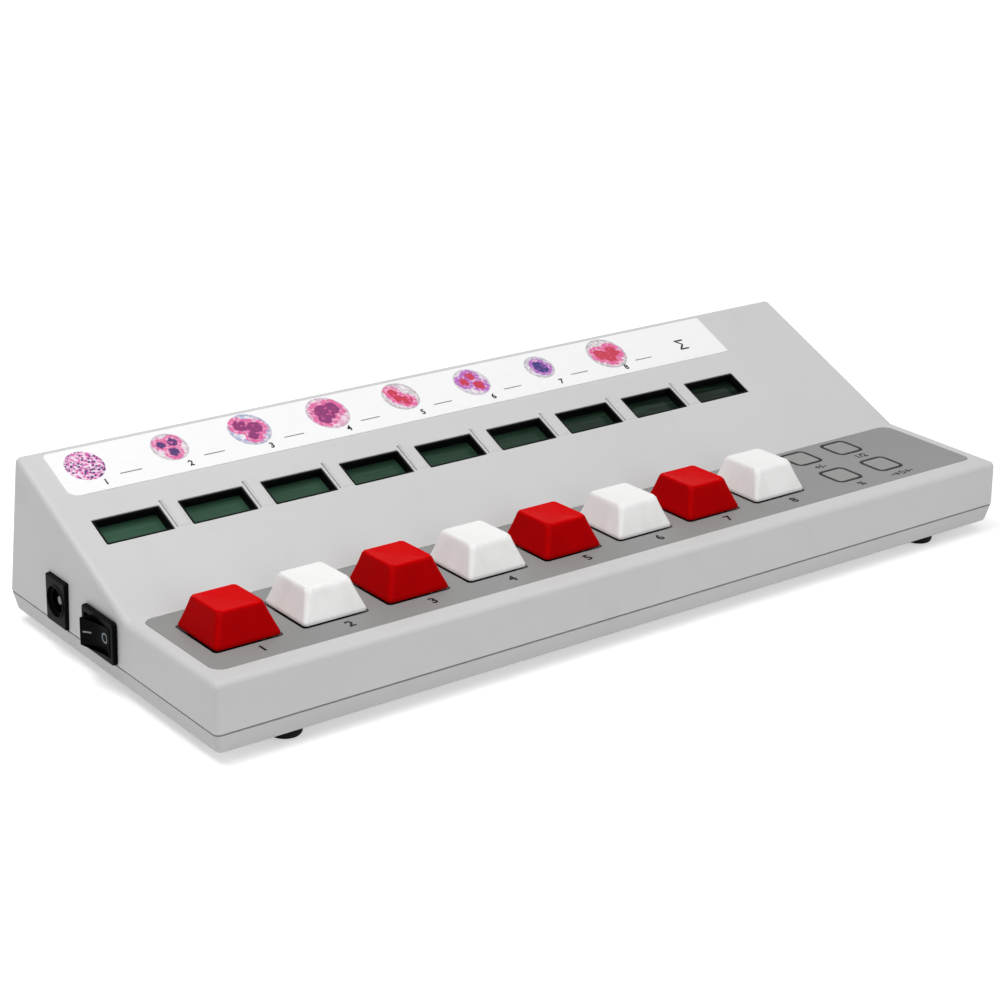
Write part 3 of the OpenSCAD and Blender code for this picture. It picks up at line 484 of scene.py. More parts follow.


# A display's glass: dark green, paler along its lower edge and darker above it as painted shade
# under the window's upper wall, paler towards the left of the row as painted light from the left,
# with a polariser's faint streaks.
def liquidCrystal(name, deep, pale):
    f = Finish(name)
    x, _, z = f.place().parts()
    # painted shade: the glass turns darker upwards, as if shaded by the window's upper wall
    up = (z * 1000 + (-29.0)).step(0.0, 4.5)
    streaks, cloud = f.noise(0.9, 4.0, (14, 1, 1)), f.noise(11, 2.0)
    # painted light: the glass is paler towards the left of the row, where the light comes from
    along = (x * 1000).step(-130, 110)
    green = f.mix(along, pale, deep)
    # the painted shade mixes in a darker copy of the deep green towards the top
    body = f.mix(up * 0.45 + cloud * 0.2, green, scaled(deep, 0.72))
    body = f.mix(streaks.step(0.45, 0.7) * 0.16, body, scaled(pale, 1.25))
    return f.done(body, streaks * 0.06 + 0.1, cloud, 0.01, 0.07)


# Metal: drawn or turned lines along one axis, with duller patches.
def bareMetal(name, colour, gloss, lines=(8, 1, 1), size=0.25, tarnish=0.3):
    f = Finish(name)
    drawn, dull = f.noise(size, 4.0, lines), f.noise(1.8, 4.0).step(0.45, 0.75)
    body = f.mix(drawn, scaled(colour, 0.86), scaled(colour, 1.08))
    body = f.mix(dull * tarnish, body, scaled(colour, 0.55))
    return f.done(body, drawn * 0.14 + dull * 0.16 + gloss, drawn, 0.008, metal=1.0)


# Circuit board: green lacquer over copper tracks, with tinned pads.
def circuitBoard(name):
    f = Finish(name)
    drift = f.noise(9, 1.0)
    tracks = f.node("ShaderNodeTexBrick", {"offset": 0.5},
                    {"Vector": f.place(), "Scale": 240.0, "Mortar Size": 0.03,
                     "Mortar Smooth": 0.2, "Brick Width": 1.6, "Row Height": 0.42}, out="Fac")
    wires = f.cells(5.08, randomness=0.35, feature="DISTANCE_TO_EDGE").step(0.035, 0.06)
    pads = f.cells(2.54, randomness=0.0).step(0.2, 0.24)
    green = f.mix(drift.step(0.3, 0.7), tone(24, 84, 46), tone(34, 104, 58))
    body = f.mix((1 - wires) * 0.6 + tracks * 0.35, green, tone(60, 140, 82))
    body = f.mix((1 - pads) * 0.75, body, tone(196, 190, 172))
    return f.done(body, wires * 0.1 + drift * 0.1 + 0.26, tracks - wires * 0.6, 0.03)


# Rubber: matt, with a pitted skin and dust in it.
def footRubber(name, colour):
    f = Finish(name)
    pits, dust = f.noise(0.5, 5.0), f.noise(4.0, 4.0).step(0.5, 0.8)
    body = f.mix(dust * 0.25, colour, tone(62, 61, 59))
    return f.done(body, pits * 0.2 + 0.62, pits, 0.05, 0.1)


# The chip: black epoxy, and tinned legs where it stands out beyond its body.
def chipEpoxy(name, middleY, halfDepth):
    f = Finish(name)
    _, y, _ = f.place().parts()
    legs = (y - middleY).math("ABSOLUTE").step(halfDepth - 0.00002, halfDepth + 0.00002)
    fine, drawn = f.noise(0.25, 4.0), f.noise(0.3, 3.0, (1, 1, 6))
    body = f.mix(fine.step(0.4, 0.65), tone(26, 26, 28), tone(44, 44, 46))
    body = f.mix(legs, body, f.mix(drawn, tone(150, 152, 156), tone(205, 207, 210)))
    return f.done(body, fine * 0.2 + legs * -0.2 + 0.5, fine, 0.01, metal=legs)


# The capacitors: a printed sleeve with a pale stripe, and a pressed can above it.
def capacitorSleeve(name, top):
    f = Finish(name)
    _, _, z = f.place().parts()
    can, drawn = z.step(top - 0.0005, top - 0.0004), f.noise(0.6, 4.0, (1, 1, 5))
    stripe = f.bands("BANDS", "X", f.place(), 52.0).step(0.9, 0.95)
    body = f.mix(drawn.step(0.3, 0.7), tone(38, 60, 110), tone(50, 74, 130))
    body = f.mix(stripe * (1 - can), body, tone(190, 196, 205))
    body = f.mix(can, body, tone(182, 184, 188))
    return f.done(body, drawn * 0.15 + 0.3, drawn, 0.01, metal=can)


# The sounder: black plastic with turned rings round its opening.
def sounderCase(name, middle):
    f = Finish(name)
    centred = f.node("ShaderNodeMapping", {},
                     {"Vector": f.place(), "Location": (-middle[0], -middle[1], 0)})
    rings = f.bands("RINGS", "Z", centred, 260.0)
    fine = f.noise(0.3, 3.0)
    return f.done(f.mix(fine, tone(20, 20, 22), tone(38, 38, 40)), fine * 0.2 + 0.4, rings, 0.05)


# Ribbon: grey insulation ribbed over its wires, painted darker in the grooves between the wires as
# painted shade and lighter on the ridges as painted light, with a red first wire.
def ribbonInsulation(name, edge):
    f = Finish(name)
    x, _, _ = f.place().parts()
    ribs = f.bands("BANDS", "X", f.place(), 1000 / 1.27 / 20 * 3.14159)
    first, fine = 1 - x.step(edge + 0.0012, edge + 0.0013), f.noise(0.5, 3.0, (1, 6, 6))
    # painted shade: the grey follows the ribs' wave, darker in the grooves and lighter on the
    # crests
    body = f.mix(ribs.step(0.2, 0.7), tone(118, 121, 126), tone(160, 163, 167))
    body = f.mix(first, body, tone(176, 40, 40))
    return f.done(body, fine * 0.15 + 0.42, ribs, 0.12)


# Wire insulation: smooth, faintly streaked along the wire.
def leadInsulation(name, colour):
    f = Finish(name)
    streaks = f.noise(0.8, 4.0, (5, 1, 1))
    return f.done(f.mix(streaks, scaled(colour, 0.8), scaled(colour, 1.15)), streaks * 0.2 + 0.26,
                  streaks, 0.01)


# A blood cell under stain. The attributes give the place in the disc, from -1 to 1, three
# lobes (x, y, radius) and the stains' colours. The nucleus is where the nearest lobe's
# edge lies outwards, the body of the cell is a wider ring round it, and granules are
# small cells of a Voronoi pattern.
def cellPrint(name):
    f = Finish(name)
    spot = f.attribute("spot")
    px, py, _ = spot.parts()
    warp = (f.noise(230, 3.0, where=spot) - 0.5) * 0.34
    nearest = None
    for lobe in ("lobeOne", "lobeTwo", "lobeThree"):
        cx, cy, radius = f.attribute(lobe).parts()
        dx, dy = px - cx, py - cy
        away = (dx * dx + dy * dy).math("SQRT") - radius + warp
        nearest = away if nearest is None else nearest.math("SMOOTH_MIN", away, 0.08)
    nucleus = 1 - nearest.step(-0.03, 0.04)
    body = 1 - nearest.step(0.2, 0.3)
    rim = (px * px + py * py).math("SQRT").step(0.72, 1.0)
    close = f.cells(170, spot)
    grains, small = 1 - close.step(0.3, 0.5), 1 - f.cells(95, spot).step(0.1, 0.45)
    tissue = f.noise(190, 4.0, where=spot)
    stain, plasma, ground = [f.attribute(k, "Color") for k in ("stain", "plasma", "ground")]
    coarse = f.attribute("coarse", "Fac")
    picture = f.mix(tissue.step(0.4, 0.62), ground, tone(246, 243, 246))
    picture = f.mix(small * 0.35 + rim * 0.4, picture, f.mix(rim, plasma, tone(148, 146, 152)))
    picture = f.mix(body, picture, f.mix(tissue.step(0.45, 0.7), plasma, tone(244, 196, 220)))
    picture = f.mix(body * small * 0.6, picture, stain)
    picture = f.mix(nucleus, picture, f.mix(tissue.step(0.55, 0.75), stain, plasma))
    granular = f.mix(grains, f.mix(tissue.step(0.4, 0.6), plasma, tone(246, 226, 240)), stain)
    picture = f.mix(coarse, picture, granular)
    return f.done(picture, tissue * 0.1 + 0.28, tissue, 0.004)


print("materials")
casePlastic = mouldedPlastic("case_grey_plastic", tone(209, 209, 209), 0.46, 0.5, 0.010, 0.012)
trayPlastic = mouldedPlastic("tray_grey_plastic", tone(200, 200, 200), 0.46, 0.5, 0.012, 0.015)
blackPlastic = mouldedPlastic("black_satin_plastic", tone(7, 7, 8), 0.42, 0.45, 0.014, 0.2, 0.03)
framePlastic = mouldedPlastic("window_frame_plastic", tone(8, 9, 9), 0.5, 0.4, 0.012, 0.25, 0.06)
socketPlastic = mouldedPlastic("socket_black_plastic", tone(8, 8, 9), 0.42, 0.6, 0.02, 0.2, 0.035)
switchPlastic = mouldedPlastic("switch_housing_plastic", tone(44, 45, 49), 0.42, 0.4, 0.014, 0.1)
stemPlastic = mouldedPlastic("brown_stem_plastic", tone(122, 74, 42), 0.3, 0.4, 0.01, 0.08)
headerPlastic = mouldedPlastic("header_black_plastic", tone(36, 37, 40), 0.46, 0.35, 0.016, 0.15)
plungerPlastic = mouldedPlastic("plunger_grey_plastic", tone(58, 59, 62), 0.34, 0.35, 0.01, 0.1)
# each keycap's second colour is the lighter copy painted on its top as painted light from above;
# the first is its sides' colour, darker as painted shade
redCap = keycapPlastic("red_keycap_plastic", tone(176, 0, 3), tone(220, 4, 8), 0.02)
whiteCap = keycapPlastic("white_keycap_plastic", tone(251, 250, 249), tone(253, 253, 252), 0.25)
filmPrint = overlayPrint("overlay_grey_print", tone(143, 144, 143))
buttonPrint = overlayPrint("button_grey_print", tone(148, 149, 147))
spacerFilm = overlayPrint("spacer_adhesive_film", tone(226, 223, 212))
labelPaper = labelStock("label_white_print", tone(250, 250, 251))
blackInk = ink("black_printing_ink", tone(9, 9, 10), tone(36, 36, 38))
greyInk = ink("grey_printing_ink", tone(112, 113, 118), tone(150, 150, 155))
whiteInk = ink("white_marking_paint", tone(142, 150, 158), tone(96, 102, 110))
displayGlass = liquidCrystal("liquid_crystal_glass", tone(22, 31, 24), tone(62, 98, 78))
zinc = bareMetal("zinc_plated_steel", tone(188, 191, 196), 0.24)
nickel = bareMetal("nickel_plating", tone(128, 127, 124), 0.3, (6, 1, 1), 0.2, 0.4)
tin = bareMetal("tinned_sheet", tone(198, 200, 202), 0.28, (5, 1, 1), 0.3)
brass = bareMetal("brass_sheet", tone(206, 168, 84), 0.24, (6, 1, 1), 0.3)
springSteel = bareMetal("spring_steel_wire", tone(190, 192, 196), 0.2, (1, 1, 1), 0.2, 0.2)
boardGreen = circuitBoard("circuit_board_lacquer")
footBlack = footRubber("foot_black_rubber", tone(14, 14, 15))
stained = cellPrint("stained_cell_print")


# ---- the case ----

# What is cut from the upper case. Holes have sizes and a corner radius, cutters a lowest and
# a highest height, and the notches for the switch and the socket two opposite corners.
openings = {
    "keyHole": [19.0, 19.0, 1.2], "buttonBore": 2.55, "through": [15.8, 22.4],
    "windowCorner": 0.35, "window": [-4.4, 3.0], "screw": [7.6, 16.1],
    "recess": [252.0, 34.1, 3.0], "recessSoft": 0.3, "recessAbove": 2.0,
    "recessMiddle": [130, 23.35],
    "notches": [([-1, 46.15, 7.6], [8.8, 59.45, 19.25]), ([-1, 69.55, 7.6], [8.8, 79.85, 21.15])],
}
# The ribs between the windows. Each ring has an inset and a height. The height falls off to
# a least share over the ramp below the middle, and a shallow line runs along the left side.
ribs = {"long": 10.5, "corner": 0.45, "clear": 1.5, "shift": [0.25, 0.8, 0], "ramp": 7,
        "least": 0.06, "lineWide": 0.5, "line": [[-5.0, -0.6], [5.1, 0.3]],
        "rings": [(0, -1.1), (0, 0.0), (0.3, 0.55), (0.36, 0.68), (0.46, 0.76), (0.62, 0.8)]}


def upperCase():
    shell = meshObject("upper_case_shell", wedge())
    combined(shell, [hollow()], "DIFFERENCE")
    # pillars for the case screws, which reach into the deck's wall or the slope's
    pillars = []
    for x, y, _ in footSpots:
        roof = case["deck"] - case["wall"]
        if y > case["deckDepth"]:
            roof = case["deck"] + (y - case["pillar"] - case["deckDepth"]) * slopeRise - 1
        pillars.append(shifted(roundBar(case["pillar"], case["seam"], roof), [x, y, 0]))
    combined(shell, pillars, "UNION")
    wide = windowRow["pitch"] - windowRow["wide"] - ribs["clear"]
    rings = [lifted(roundRing(wide - 2 * e, ribs["long"] - 2 * e, ribs["corner"]), w)
             for e, w in ribs["rings"]]
    for ring in rings[1:]:
        ring[:, 2] *= np.clip((ring[:, 1] + ribs["ramp"]) / ribs["ramp"], ribs["least"], 1)
    between = np.array(spots(windowRow, 0.5)[:-1]) + ribs["shift"]
    combined(shell, [onSlope(repeated(loft(rings), between))], "UNION")
    (near, low), (far, high) = ribs["line"]
    line = plainBlock([-wide / 2 - ribs["lineWide"], near, low], [-wide / 2, far, high])
    combined(shell, [onSlope(repeated(line, between))], "DIFFERENCE")
    o = openings
    window = softHole(windowRow["wide"], windowRow["high"], o["windowCorner"], *o["window"],
                      windowRow["softening"])
    hole = stacked([(z, *o["keyHole"]) for z in o["through"]])
    bore = roundBar(o["buttonBore"], *o["through"])
    screw = roundBar(case["screwBore"], *o["screw"])
    combined(shell, [onSlope(repeated(window, spots(windowRow))), repeated(hole, spots(keyRow)),
                     repeated(bore, buttonSpots), repeated(screw, footSpots),
                     *[plainBlock(*notch) for notch in o["notches"]]], "DIFFERENCE")
    recess = softHole(*o["recess"], -case["recess"], o["recessAbove"], o["recessSoft"])
    combined(shell, [shifted(recess, [*o["recessMiddle"], case["deck"]])], "DIFFERENCE")
    cleaned(shell)
    finished(shell, casePlastic, "case", "upper_case_plastic", ["upper_case"], 32, True)


# The tray's posts for the board, bores for the case screws (radius, lowest and highest), the
# fine measures of its lip, and the gaps in the lip beside the switch and the socket.
tray = {"post": 2.6, "postX": [30.55, 127.75, 243], "postY": [24.2, 61], "postRise": 0.6,
        "sunk": 0.5, "bore": [1.7, 2, 10], "lipBack": 0.24, "lipEdge": 0.2, "underGroove": 0.12,
        "gaps": [([0.5, 46, 8.65], [4.4, 59.6, 12]), ([0.5, 68.2, 8.65], [4.4, 81.2, 12])]}


# The tray below the seam: rings from the rounded bottom edge up the leaning side, in over
# the dark groove, up the lip and down to the floor.
def lowerCase():
    foot, seam = case["foot"], case["seam"]
    grow = 2 * case["baseDraft"] / (seam - foot)
    rings = []

    def ring(z, inset, back=0.0):
        wide = case["width"] - 2 * case["baseDraft"] + grow * (min(z, seam) - foot) - 2 * inset
        deep = wide - case["width"] + case["depth"]
        middle = (case["width"] / 2, case["depth"] / 2 - back / 2)
        corner = max(0.3, case["edge"] - inset)
        rings.append(lifted(roundRing(wide, deep - back, corner, 6, middle), z))

    for rise, inset in quarter(case["baseEdge"], 5):
        ring(foot + rise, inset)
    low, top, edge = seam - case["groove"], seam + case["lipHigh"], tray["lipEdge"]
    for z, inset in ((low - tray["underGroove"], 0), (low, tray["underGroove"]),
                     (low, case["grooveDepth"]), (seam, case["grooveDepth"])):
        ring(z, inset)
    for z, inset in ((seam, 0), (top - edge, 0), (top, edge), (top, case["lipThick"]),
                     (case["floor"], case["lipThick"])):
        ring(z, case["lipInset"] + inset, tray["lipBack"])
    shell = meshObject("lower_case_tray", loft(rings))
    floor = case["floor"] - tray["sunk"]
    posts = [[x, y, 0] for x in tray["postX"] for y in tray["postY"]]
    combined(shell, [repeated(roundBar(case["pillar"], floor, seam), footSpots),
                     repeated(roundBar(tray["post"], floor, seam + tray["postRise"]), posts)],
             "UNION")
    combined(shell, [repeated(roundBar(*tray["bore"]), footSpots),
                     *[plainBlock(*gap) for gap in tray["gaps"]]], "DIFFERENCE")
    cleaned(shell)
    finished(shell, trayPlastic, "case", "lower_case_plastic", ["lower_case"], 32, True)


# A foot's heights and radii: out of the screw's recess, round its lower rim and up its
# tapered side.
footRows = [(1.7, 3.05), (0.35, 3.05), (0.1, 3.15), (0, 3.35), (0, 3.5), (0.12, 3.85),
            (0.45, 4.1), (0.9, 4.2), (3.0, 4.4)]


def feet():
    piece("rubber_feet_turned", repeated(turned(footRows, 9), footSpots), footBlack, "case",
          "foot_rubber", ["rubber_feet"], 50)


print("case")
upperCase()
lowerCase()
feet()

# A frame's height above the face, sizes and corner radius: up its flange and its nose, round
# the rim, and down inside the aperture to the pocket that holds the glass.
frameRows = [(-4.8, 23.4, 13.4, 0.6), (-2.25, 23.4, 13.4, 0.6), (-2.25, 18.7, 8.6, 0.3),
             (-0.27, 18.7, 8.6, 0.3), (-0.18, 18.62, 8.52, 0.26), (-0.15, 18.45, 8.35, 0.2),
             (-0.15, 18.05, 7.95, 0.2), (-0.2, 17.88, 7.78, 0.16), (-0.3, 17.8, 7.7, 0.15),
             (-2.6, 17.8, 7.7, 0.15), (-2.6, 22.0, 12.0, 0.3), (-4.8, 22.0, 12.0, 0.3)]


def displayFrames():
    shell = repeated(stacked(frameRows, 4, "loop"), spots(windowRow))
    piece("display_frames", onSlope(shell), framePlastic, "case", "black_frame",
          ["display_surrounds"], 50)


print("displays")
displayFrames()

cap = {"base": 18.0, "topWide": 12.5, "topDeep": 13.6, "low": 21.8, "high": 7.7, "back": 0.9,
       "wall": 1.3, "dish": 0.6, "tilt": 0.28, "soft": 0.6, "baseCorner": 1.0, "topCorner": 1.7,
       "ceiling": 27.6, "waist": 0.1, "steps": 7, "skirt": 0.65, "rim": 0.15,
       "post": [(22.5, 2.7), (27.9, 2.7), (27.9, 2.15), (22.5, 2.15)]}


# A keycap's plan at a share of its height, drawn in by an inset: a rounded square that
# narrows, and slides back, as it rises.
def capPlan(share, inset, scale=1.0):
    bulge = -2 * cap["waist"] * math.sin(math.pi * share)
    wide = cap["base"] + share * (cap["topWide"] - cap["base"]) + bulge - 2 * inset
    deep = cap["base"] + share * (cap["topDeep"] - cap["base"]) + bulge - 2 * inset
    radius = cap["baseCorner"] + share * (cap["topCorner"] - cap["baseCorner"]) - inset
    return roundRing(wide * scale, deep * scale, max(0.25, radius) * scale, cap["steps"],
                     (0, share * cap["back"]))


# The height of the dished top: a shallow trough from front to rear, higher at the front.
def capTop(plan):
    x, y = plan[:, 0], plan[:, 1] - cap["back"]
    trough = cap["dish"] * np.minimum(1, (2 * x / cap["topWide"]) ** 2)
    slant = cap["tilt"] * (0.5 + y / cap["topDeep"])
    return cap["low"] + cap["high"] - cap["dish"] + trough - slant


# A keycap: from the middle of its ceiling down inside, round the rim, up the outside, round the top
# edge and in over the dish. The wear attribute says where it is rubbed, and the top attribute where
# the lighter copy of its colour is painted as light falling on the dished top.
def keycap(number, finish, slot):
    rings, wear, top = [], [], []
    corners = np.tile(np.sin(np.linspace(0, np.pi, cap["steps"] + 1)) ** 2, 4)

    def ring(plan, height, worn, litTopShare=0.0):
        rings.append(lifted(plan, height))
        wear.append(np.broadcast_to(worn, len(plan)))
        top.append(np.full(len(plan), litTopShare))

    for scale in (0.06, 0.5, 0.94):
        ring(capPlan(1, cap["wall"], scale), cap["ceiling"], 0)
    topShare = (cap["ceiling"] - cap["low"]) / cap["high"]
    ring(capPlan(topShare, cap["wall"]), cap["ceiling"] - 0.5, 0)
    foot = cap["low"] - cap["skirt"]
    ring(capPlan(0, cap["wall"]), foot, 0)
    ring(capPlan(0, cap["rim"]), foot, 0.3)
    ring(capPlan(0, 0), foot + cap["rim"], 0.3)
    rim = capTop(capPlan(1, 0)) - cap["soft"]
    for share in (0.02, 0.06, 0.15, 0.3, 0.45, 0.6, 0.75, 0.88, 1.0):
        ring(capPlan(share * (1 - cap["soft"] / cap["high"]), 0),
             cap["low"] + share * (rim - cap["low"]), corners * min(1, 6 * share) * 0.8)
    # over the top edge the share of painted light on the top grows to 1
    for turn in np.radians(np.linspace(0, 90, 7))[1:]:
        plan = capPlan(1, cap["soft"] * (1 - math.cos(turn)))
        ring(plan, capTop(plan) - cap["soft"] * (1 - math.sin(turn)), math.sin(2 * turn),
             math.sin(turn) ** 2)
    for scale in (0.85, 0.7, 0.55, 0.4, 0.25, 0.1):
        plan = capPlan(1, cap["soft"], scale)
        ring(plan, capTop(plan), 0, 1.0)
    shell = together([loft(rings), turned(cap["post"], ends="loop")])
    made = meshObject("keycap_moulded_%d" % number, shifted(shell, spots(keyRow)[number - 1]))
    for field, parts in (("wear", wear), ("top", top)):
        values = np.zeros(len(shell[0]), np.float32)
        values[: len(rings) * len(rings[0])] = np.concatenate(parts)
        made.data.attributes.new(field, "FLOAT", "POINT").data.foreach_set("value", values)
    finished(made, finish, "key_%d" % number, slot, ["keycap_%d" % number], 60, True)


print("keycaps")
for number in range(1, keyRow["count"] + 1):
    keycap(number, *((redCap, "red_keycap") if number % 2 else (whiteCap, "white_keycap")))

coil = {"radius": 1.9, "wire": 0.18, "turns": 4.5, "low": 11.9, "high": 17.7, "around": 8,
        "along": 108, "clear": 1.05}


# A return spring: a round wire carried along a helix whose end turns lie flat.
def returnSpring(number):
    along = np.linspace(0, 1, coil["along"])
    turn = 2 * np.pi * coil["turns"] * along
    flat = 0.5 / coil["turns"]
    wire, lift = coil["wire"], coil["wire"] * coil["clear"]
    height = coil["low"] + lift + (coil["high"] - coil["low"] - 2 * lift) * np.clip(
        (along - flat) / (1 - 2 * flat), 0, 1)
    side = 2 * np.pi * np.arange(coil["around"]) / coil["around"]
    out = coil["radius"] + wire * np.cos(side)[None, :]
    rings = np.stack([out * np.cos(turn)[:, None], out * np.sin(turn)[:, None],
                      height[:, None] - wire * np.sin(side)[None, :]], -1)
    spot = np.array(spots(keyRow)[number - 1])
    made = piece("key_return_spring_%d" % number, shifted(loft(rings), spot), springSteel,
                 "case", "spring_steel", ["key_spring_%d" % number], 60)
    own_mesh(made)


for number in range(1, keyRow["count"] + 1):
    returnSpring(number)

# Printing is thin closed shapes that stand a hair above what carries them: by this many
# millimetres, and as far below its surface.
printThick = 0.03


# Text as a thin solid: its letters' outlines, made bolder by a weight. A font's capitals fill
# 0.7 of its size.
def lettering(text, high, weight):
    curve = bpy.data.curves.new("letters", "FONT")
    curve.body, curve.size, curve.extrude, curve.offset = text, high / 0.7, printThick, weight
    curve.align_x, curve.align_y, curve.resolution_u = "CENTER", "CENTER", 4
    holder = linked("letters", curve)
    flat = evaluatedMesh(holder)
    work = bmesh.new()
    work.from_mesh(flat)
    bmesh.ops.remove_doubles(work, verts=work.verts, dist=1e-4)
    points = np.array([v.co for v in work.verts], float)
    faces = [[v.index for v in face.verts] for face in work.faces]
    work.free()
    bpy.data.objects.remove(holder)
    bpy.data.meshes.remove(flat)
    return points, faces


# A flat bar from one point to another.
def bar(start, end, wide):
    start, end = np.array(start, float), np.array(end, float)
    way = (end - start) / np.linalg.norm(end - start)
    side = np.array([way[1], -way[0]]) * wide / 2
    ring = np.array([start + side, end + side, end - side, start - side])
    return loft([lifted(ring, z) for z in (-printThick, printThick)])


# A flat ring, or a rounded frame, as a closed band.
def band(wide, deep, radius, line):
    inner = (wide - 2 * line, deep - 2 * line, max(0.05, radius - line))
    return stacked([(-printThick, wide, deep, radius), (printThick, wide, deep, radius),
                    (printThick, *inner), (-printThick, *inner)], 8, "loop")


# The numbers from 1 along a row.
def numbered(row):
    return [shifted(lettering(str(i + 1), row["high"], row["weight"]), spot)
            for i, spot in enumerate(spots(row))]


overlay = {"first": 19.6, "pitch": 24.33, "count": 8, "line": 11.2, "rise": 21.0, "high": 2.9,
           "weight": 0.12,
           # each sign's text, height, weight and place
           "signs": [("+/-", 2.3, 0.1, [214.7, 26.0, 21.0]), ("%", 2.3, 0.09, [214.9, 9.9, 21.0]),
                     ("1/2", 2.3, 0.1, [231.0, 26.0, 21.0])],
           "nought": [1.8, 2.3, 0.85, 0.42], "noughtAt": [231, 9.9, 21.0],
           "arrow": {"tail": 4.3, "tip": 1.5, "barb": [2.4, 0.85], "line": 0.42}}


# The overlay: a number in front of each key, and a sign below each flat button. The last
# sign is a nought between two arrows.
def overlayMarks():
    piece("overlay_numbers", together(numbered(overlay)), blackInk, "case", "overlay_print")
    arrow = overlay["arrow"]
    out, up = arrow["barb"]
    strokes = [([s * arrow["tail"], 0], [s * arrow["tip"], 0]) for s in (-1, 1)]
    strokes += [([s * out, t * up], [s * arrow["tip"], 0]) for s in (-1, 1) for t in (-1, 1)]
    nought = [band(*overlay["nought"]), *[bar(*stroke, arrow["line"]) for stroke in strokes]]
    signs = [shifted(lettering(text, high, weight), place)
             for text, high, weight, place in overlay["signs"]]
    signs.append(shifted(together(nought), overlay["noughtAt"]))
    piece("overlay_signs", together(signs), blackInk, "case", "overlay_print")


def buttonOutlines():
    outline = band(buttons["size"], buttons["size"], buttons["radius"], buttons["line"])
    for name, (x, y, _) in zip(buttons["names"], buttonSpots):
        piece(name + "_button_outline", shifted(outline, [x, y, buttons["top"]]), blackInk,
              name + "_key", "button_print")


strip = {"left": 7.4, "right": 227.8, "low": 43.1, "high": 59.3, "thick": 0.2,
         # corners from the far right round to the near right
         "corners": [0.6, 1.2, 2.6, 0.6], "edges": [(0, 0.0), (0, 0.15), (0.05, 0.2)],
         "numbers": {"first": 18.6, "pitch": 24.4, "count": 8, "line": 45.6, "rise": 0.2,
                     "high": 1.9, "weight": 0.08},
         "lines": {"first": 26.5, "pitch": 24.4, "count": 8, "line": 47.4, "rise": 0.2},
         "lineHalf": 3.1, "lineThick": 0.3, "sum": [4.0, 0.05], "sumAt": [214.0, 49.3, 0.2]}


# The strip above the windows: a sheet that is rounder on its left, numbers, a line to write
# on beside each, and the sum sign.
def labelStrip():
    wide, deep = strip["right"] - strip["left"], strip["high"] - strip["low"]
    middle = ((strip["left"] + strip["right"]) / 2, (strip["low"] + strip["high"]) / 2)
    corners = np.array(strip["corners"])
    sheet = loft([lifted(roundRing(wide - 2 * e, deep - 2 * e, corners - e, 5, middle), w)
                  for e, w in strip["edges"]])
    piece("label_strip_sheet", onSlope(sheet), labelPaper, "case", "label_print",
          ["label_strip"], 30)
    total = shifted(lettering("Σ", *strip["sum"]), strip["sumAt"])
    numbers = together([*numbered(strip["numbers"]), total])
    piece("strip_numbers", onSlope(numbers), blackInk, "case", "label_print")
    line = bar([-strip["lineHalf"], 0], [strip["lineHalf"], 0], strip["lineThick"])
    piece("strip_lines", onSlope(repeated(line, spots(strip["lines"]))), greyInk, "case",
          "label_print")


# One row for each disc: its place across and up the slope, radius, three lobes (x, y, radius,
# as shares of the disc), stain, cell body and ground colours, and how granular it is.
purple, magenta = tone(66, 18, 104), tone(134, 14, 104)
rose, violet = tone(200, 24, 62), tone(42, 16, 116)
pink, lilac = tone(228, 96, 160), tone(178, 96, 196)
pale, grey = tone(220, 214, 222), tone(196, 196, 200)
cellRows = [
    (16.0, 52.6, 5.3, (-0.1, 0.1, 0.3), (0.3, -0.2, 0.25), (0.1, 0.4, 0.2), purple,
     tone(212, 84, 168), pale, 1.0),
    (40.5, 52.8, 5.1, (-0.35, 0.25, 0.24), (0.3, 0.32, 0.26), (0.05, -0.38, 0.3), purple,
     pink, pale, 0.0),
    (64.6, 52.9, 6.0, (-0.3, 0.3, 0.34), (0.28, 0.05, 0.36), (0.0, -0.42, 0.22), magenta,
     pink, tone(150, 186, 226), 0.0),
    (89.2, 52.8, 6.2, (-0.12, 0.05, 0.48), (0.32, 0.2, 0.36), (-0.35, -0.3, 0.3), magenta,
     pink, tone(228, 176, 206), 0.0),
    (113.4, 53.1, 5.5, (-0.28, 0.35, 0.26), (-0.2, -0.1, 0.24), (0.18, -0.35, 0.28), rose,
     pink, grey, 0.0),
    (137.6, 52.7, 5.5, (-0.4, 0.1, 0.28), (0.15, 0.42, 0.26), (0.3, -0.3, 0.3), rose,
     lilac, pale, 0.0),
    (162.0, 52.9, 4.7, (0.1, -0.06, 0.46), (0.02, 0.1, 0.4), (0.2, -0.15, 0.36), violet,
     lilac, grey, 0.0),
    (186.9, 52.6, 6.4, (-0.34, 0.0, 0.32), (0.02, -0.22, 0.36), (0.38, 0.06, 0.32), rose,
     pink, grey, 0.0),
]


# The printed discs of stained cells: flat round plates that carry their own coordinates. A
# number of its own for each disc makes its noise differ from the others'.
def cellPictures():
    fields = ("spot", "lobeOne", "lobeTwo", "lobeThree", "stain", "plasma", "ground", "coarse")
    shells, store = [], {key: [] for key in fields}
    for k, (x, up, radius, *values) in enumerate(cellRows):
        disc = turned([(-0.05, radius), (0.025, radius)], 12)
        shells.append(shifted(disc, [x, up, strip["thick"]]))
        n = len(disc[0])
        store["spot"].append(np.column_stack([disc[0][:, :2] / radius, np.full(n, 7.3 * k)]))
        for key, value in zip(fields[1:], values):
            store[key].append(np.tile(value, (n, 1)))
    made = piece("stained_cell_discs", onSlope(together(shells)), stained, "case", "label_print")
    kinds = {1: ("FLOAT", "value"), 3: ("FLOAT_VECTOR", "vector"), 4: ("FLOAT_COLOR", "color")}
    for key, parts in store.items():
        values = np.concatenate(parts).astype(np.float32)
        kind, field = kinds[values.shape[1]]
        made.data.attributes.new(key, kind, "POINT").data.foreach_set(field, values.ravel())


print("printing")
overlayMarks()
buttonOutlines()
labelStrip()
cellPictures()

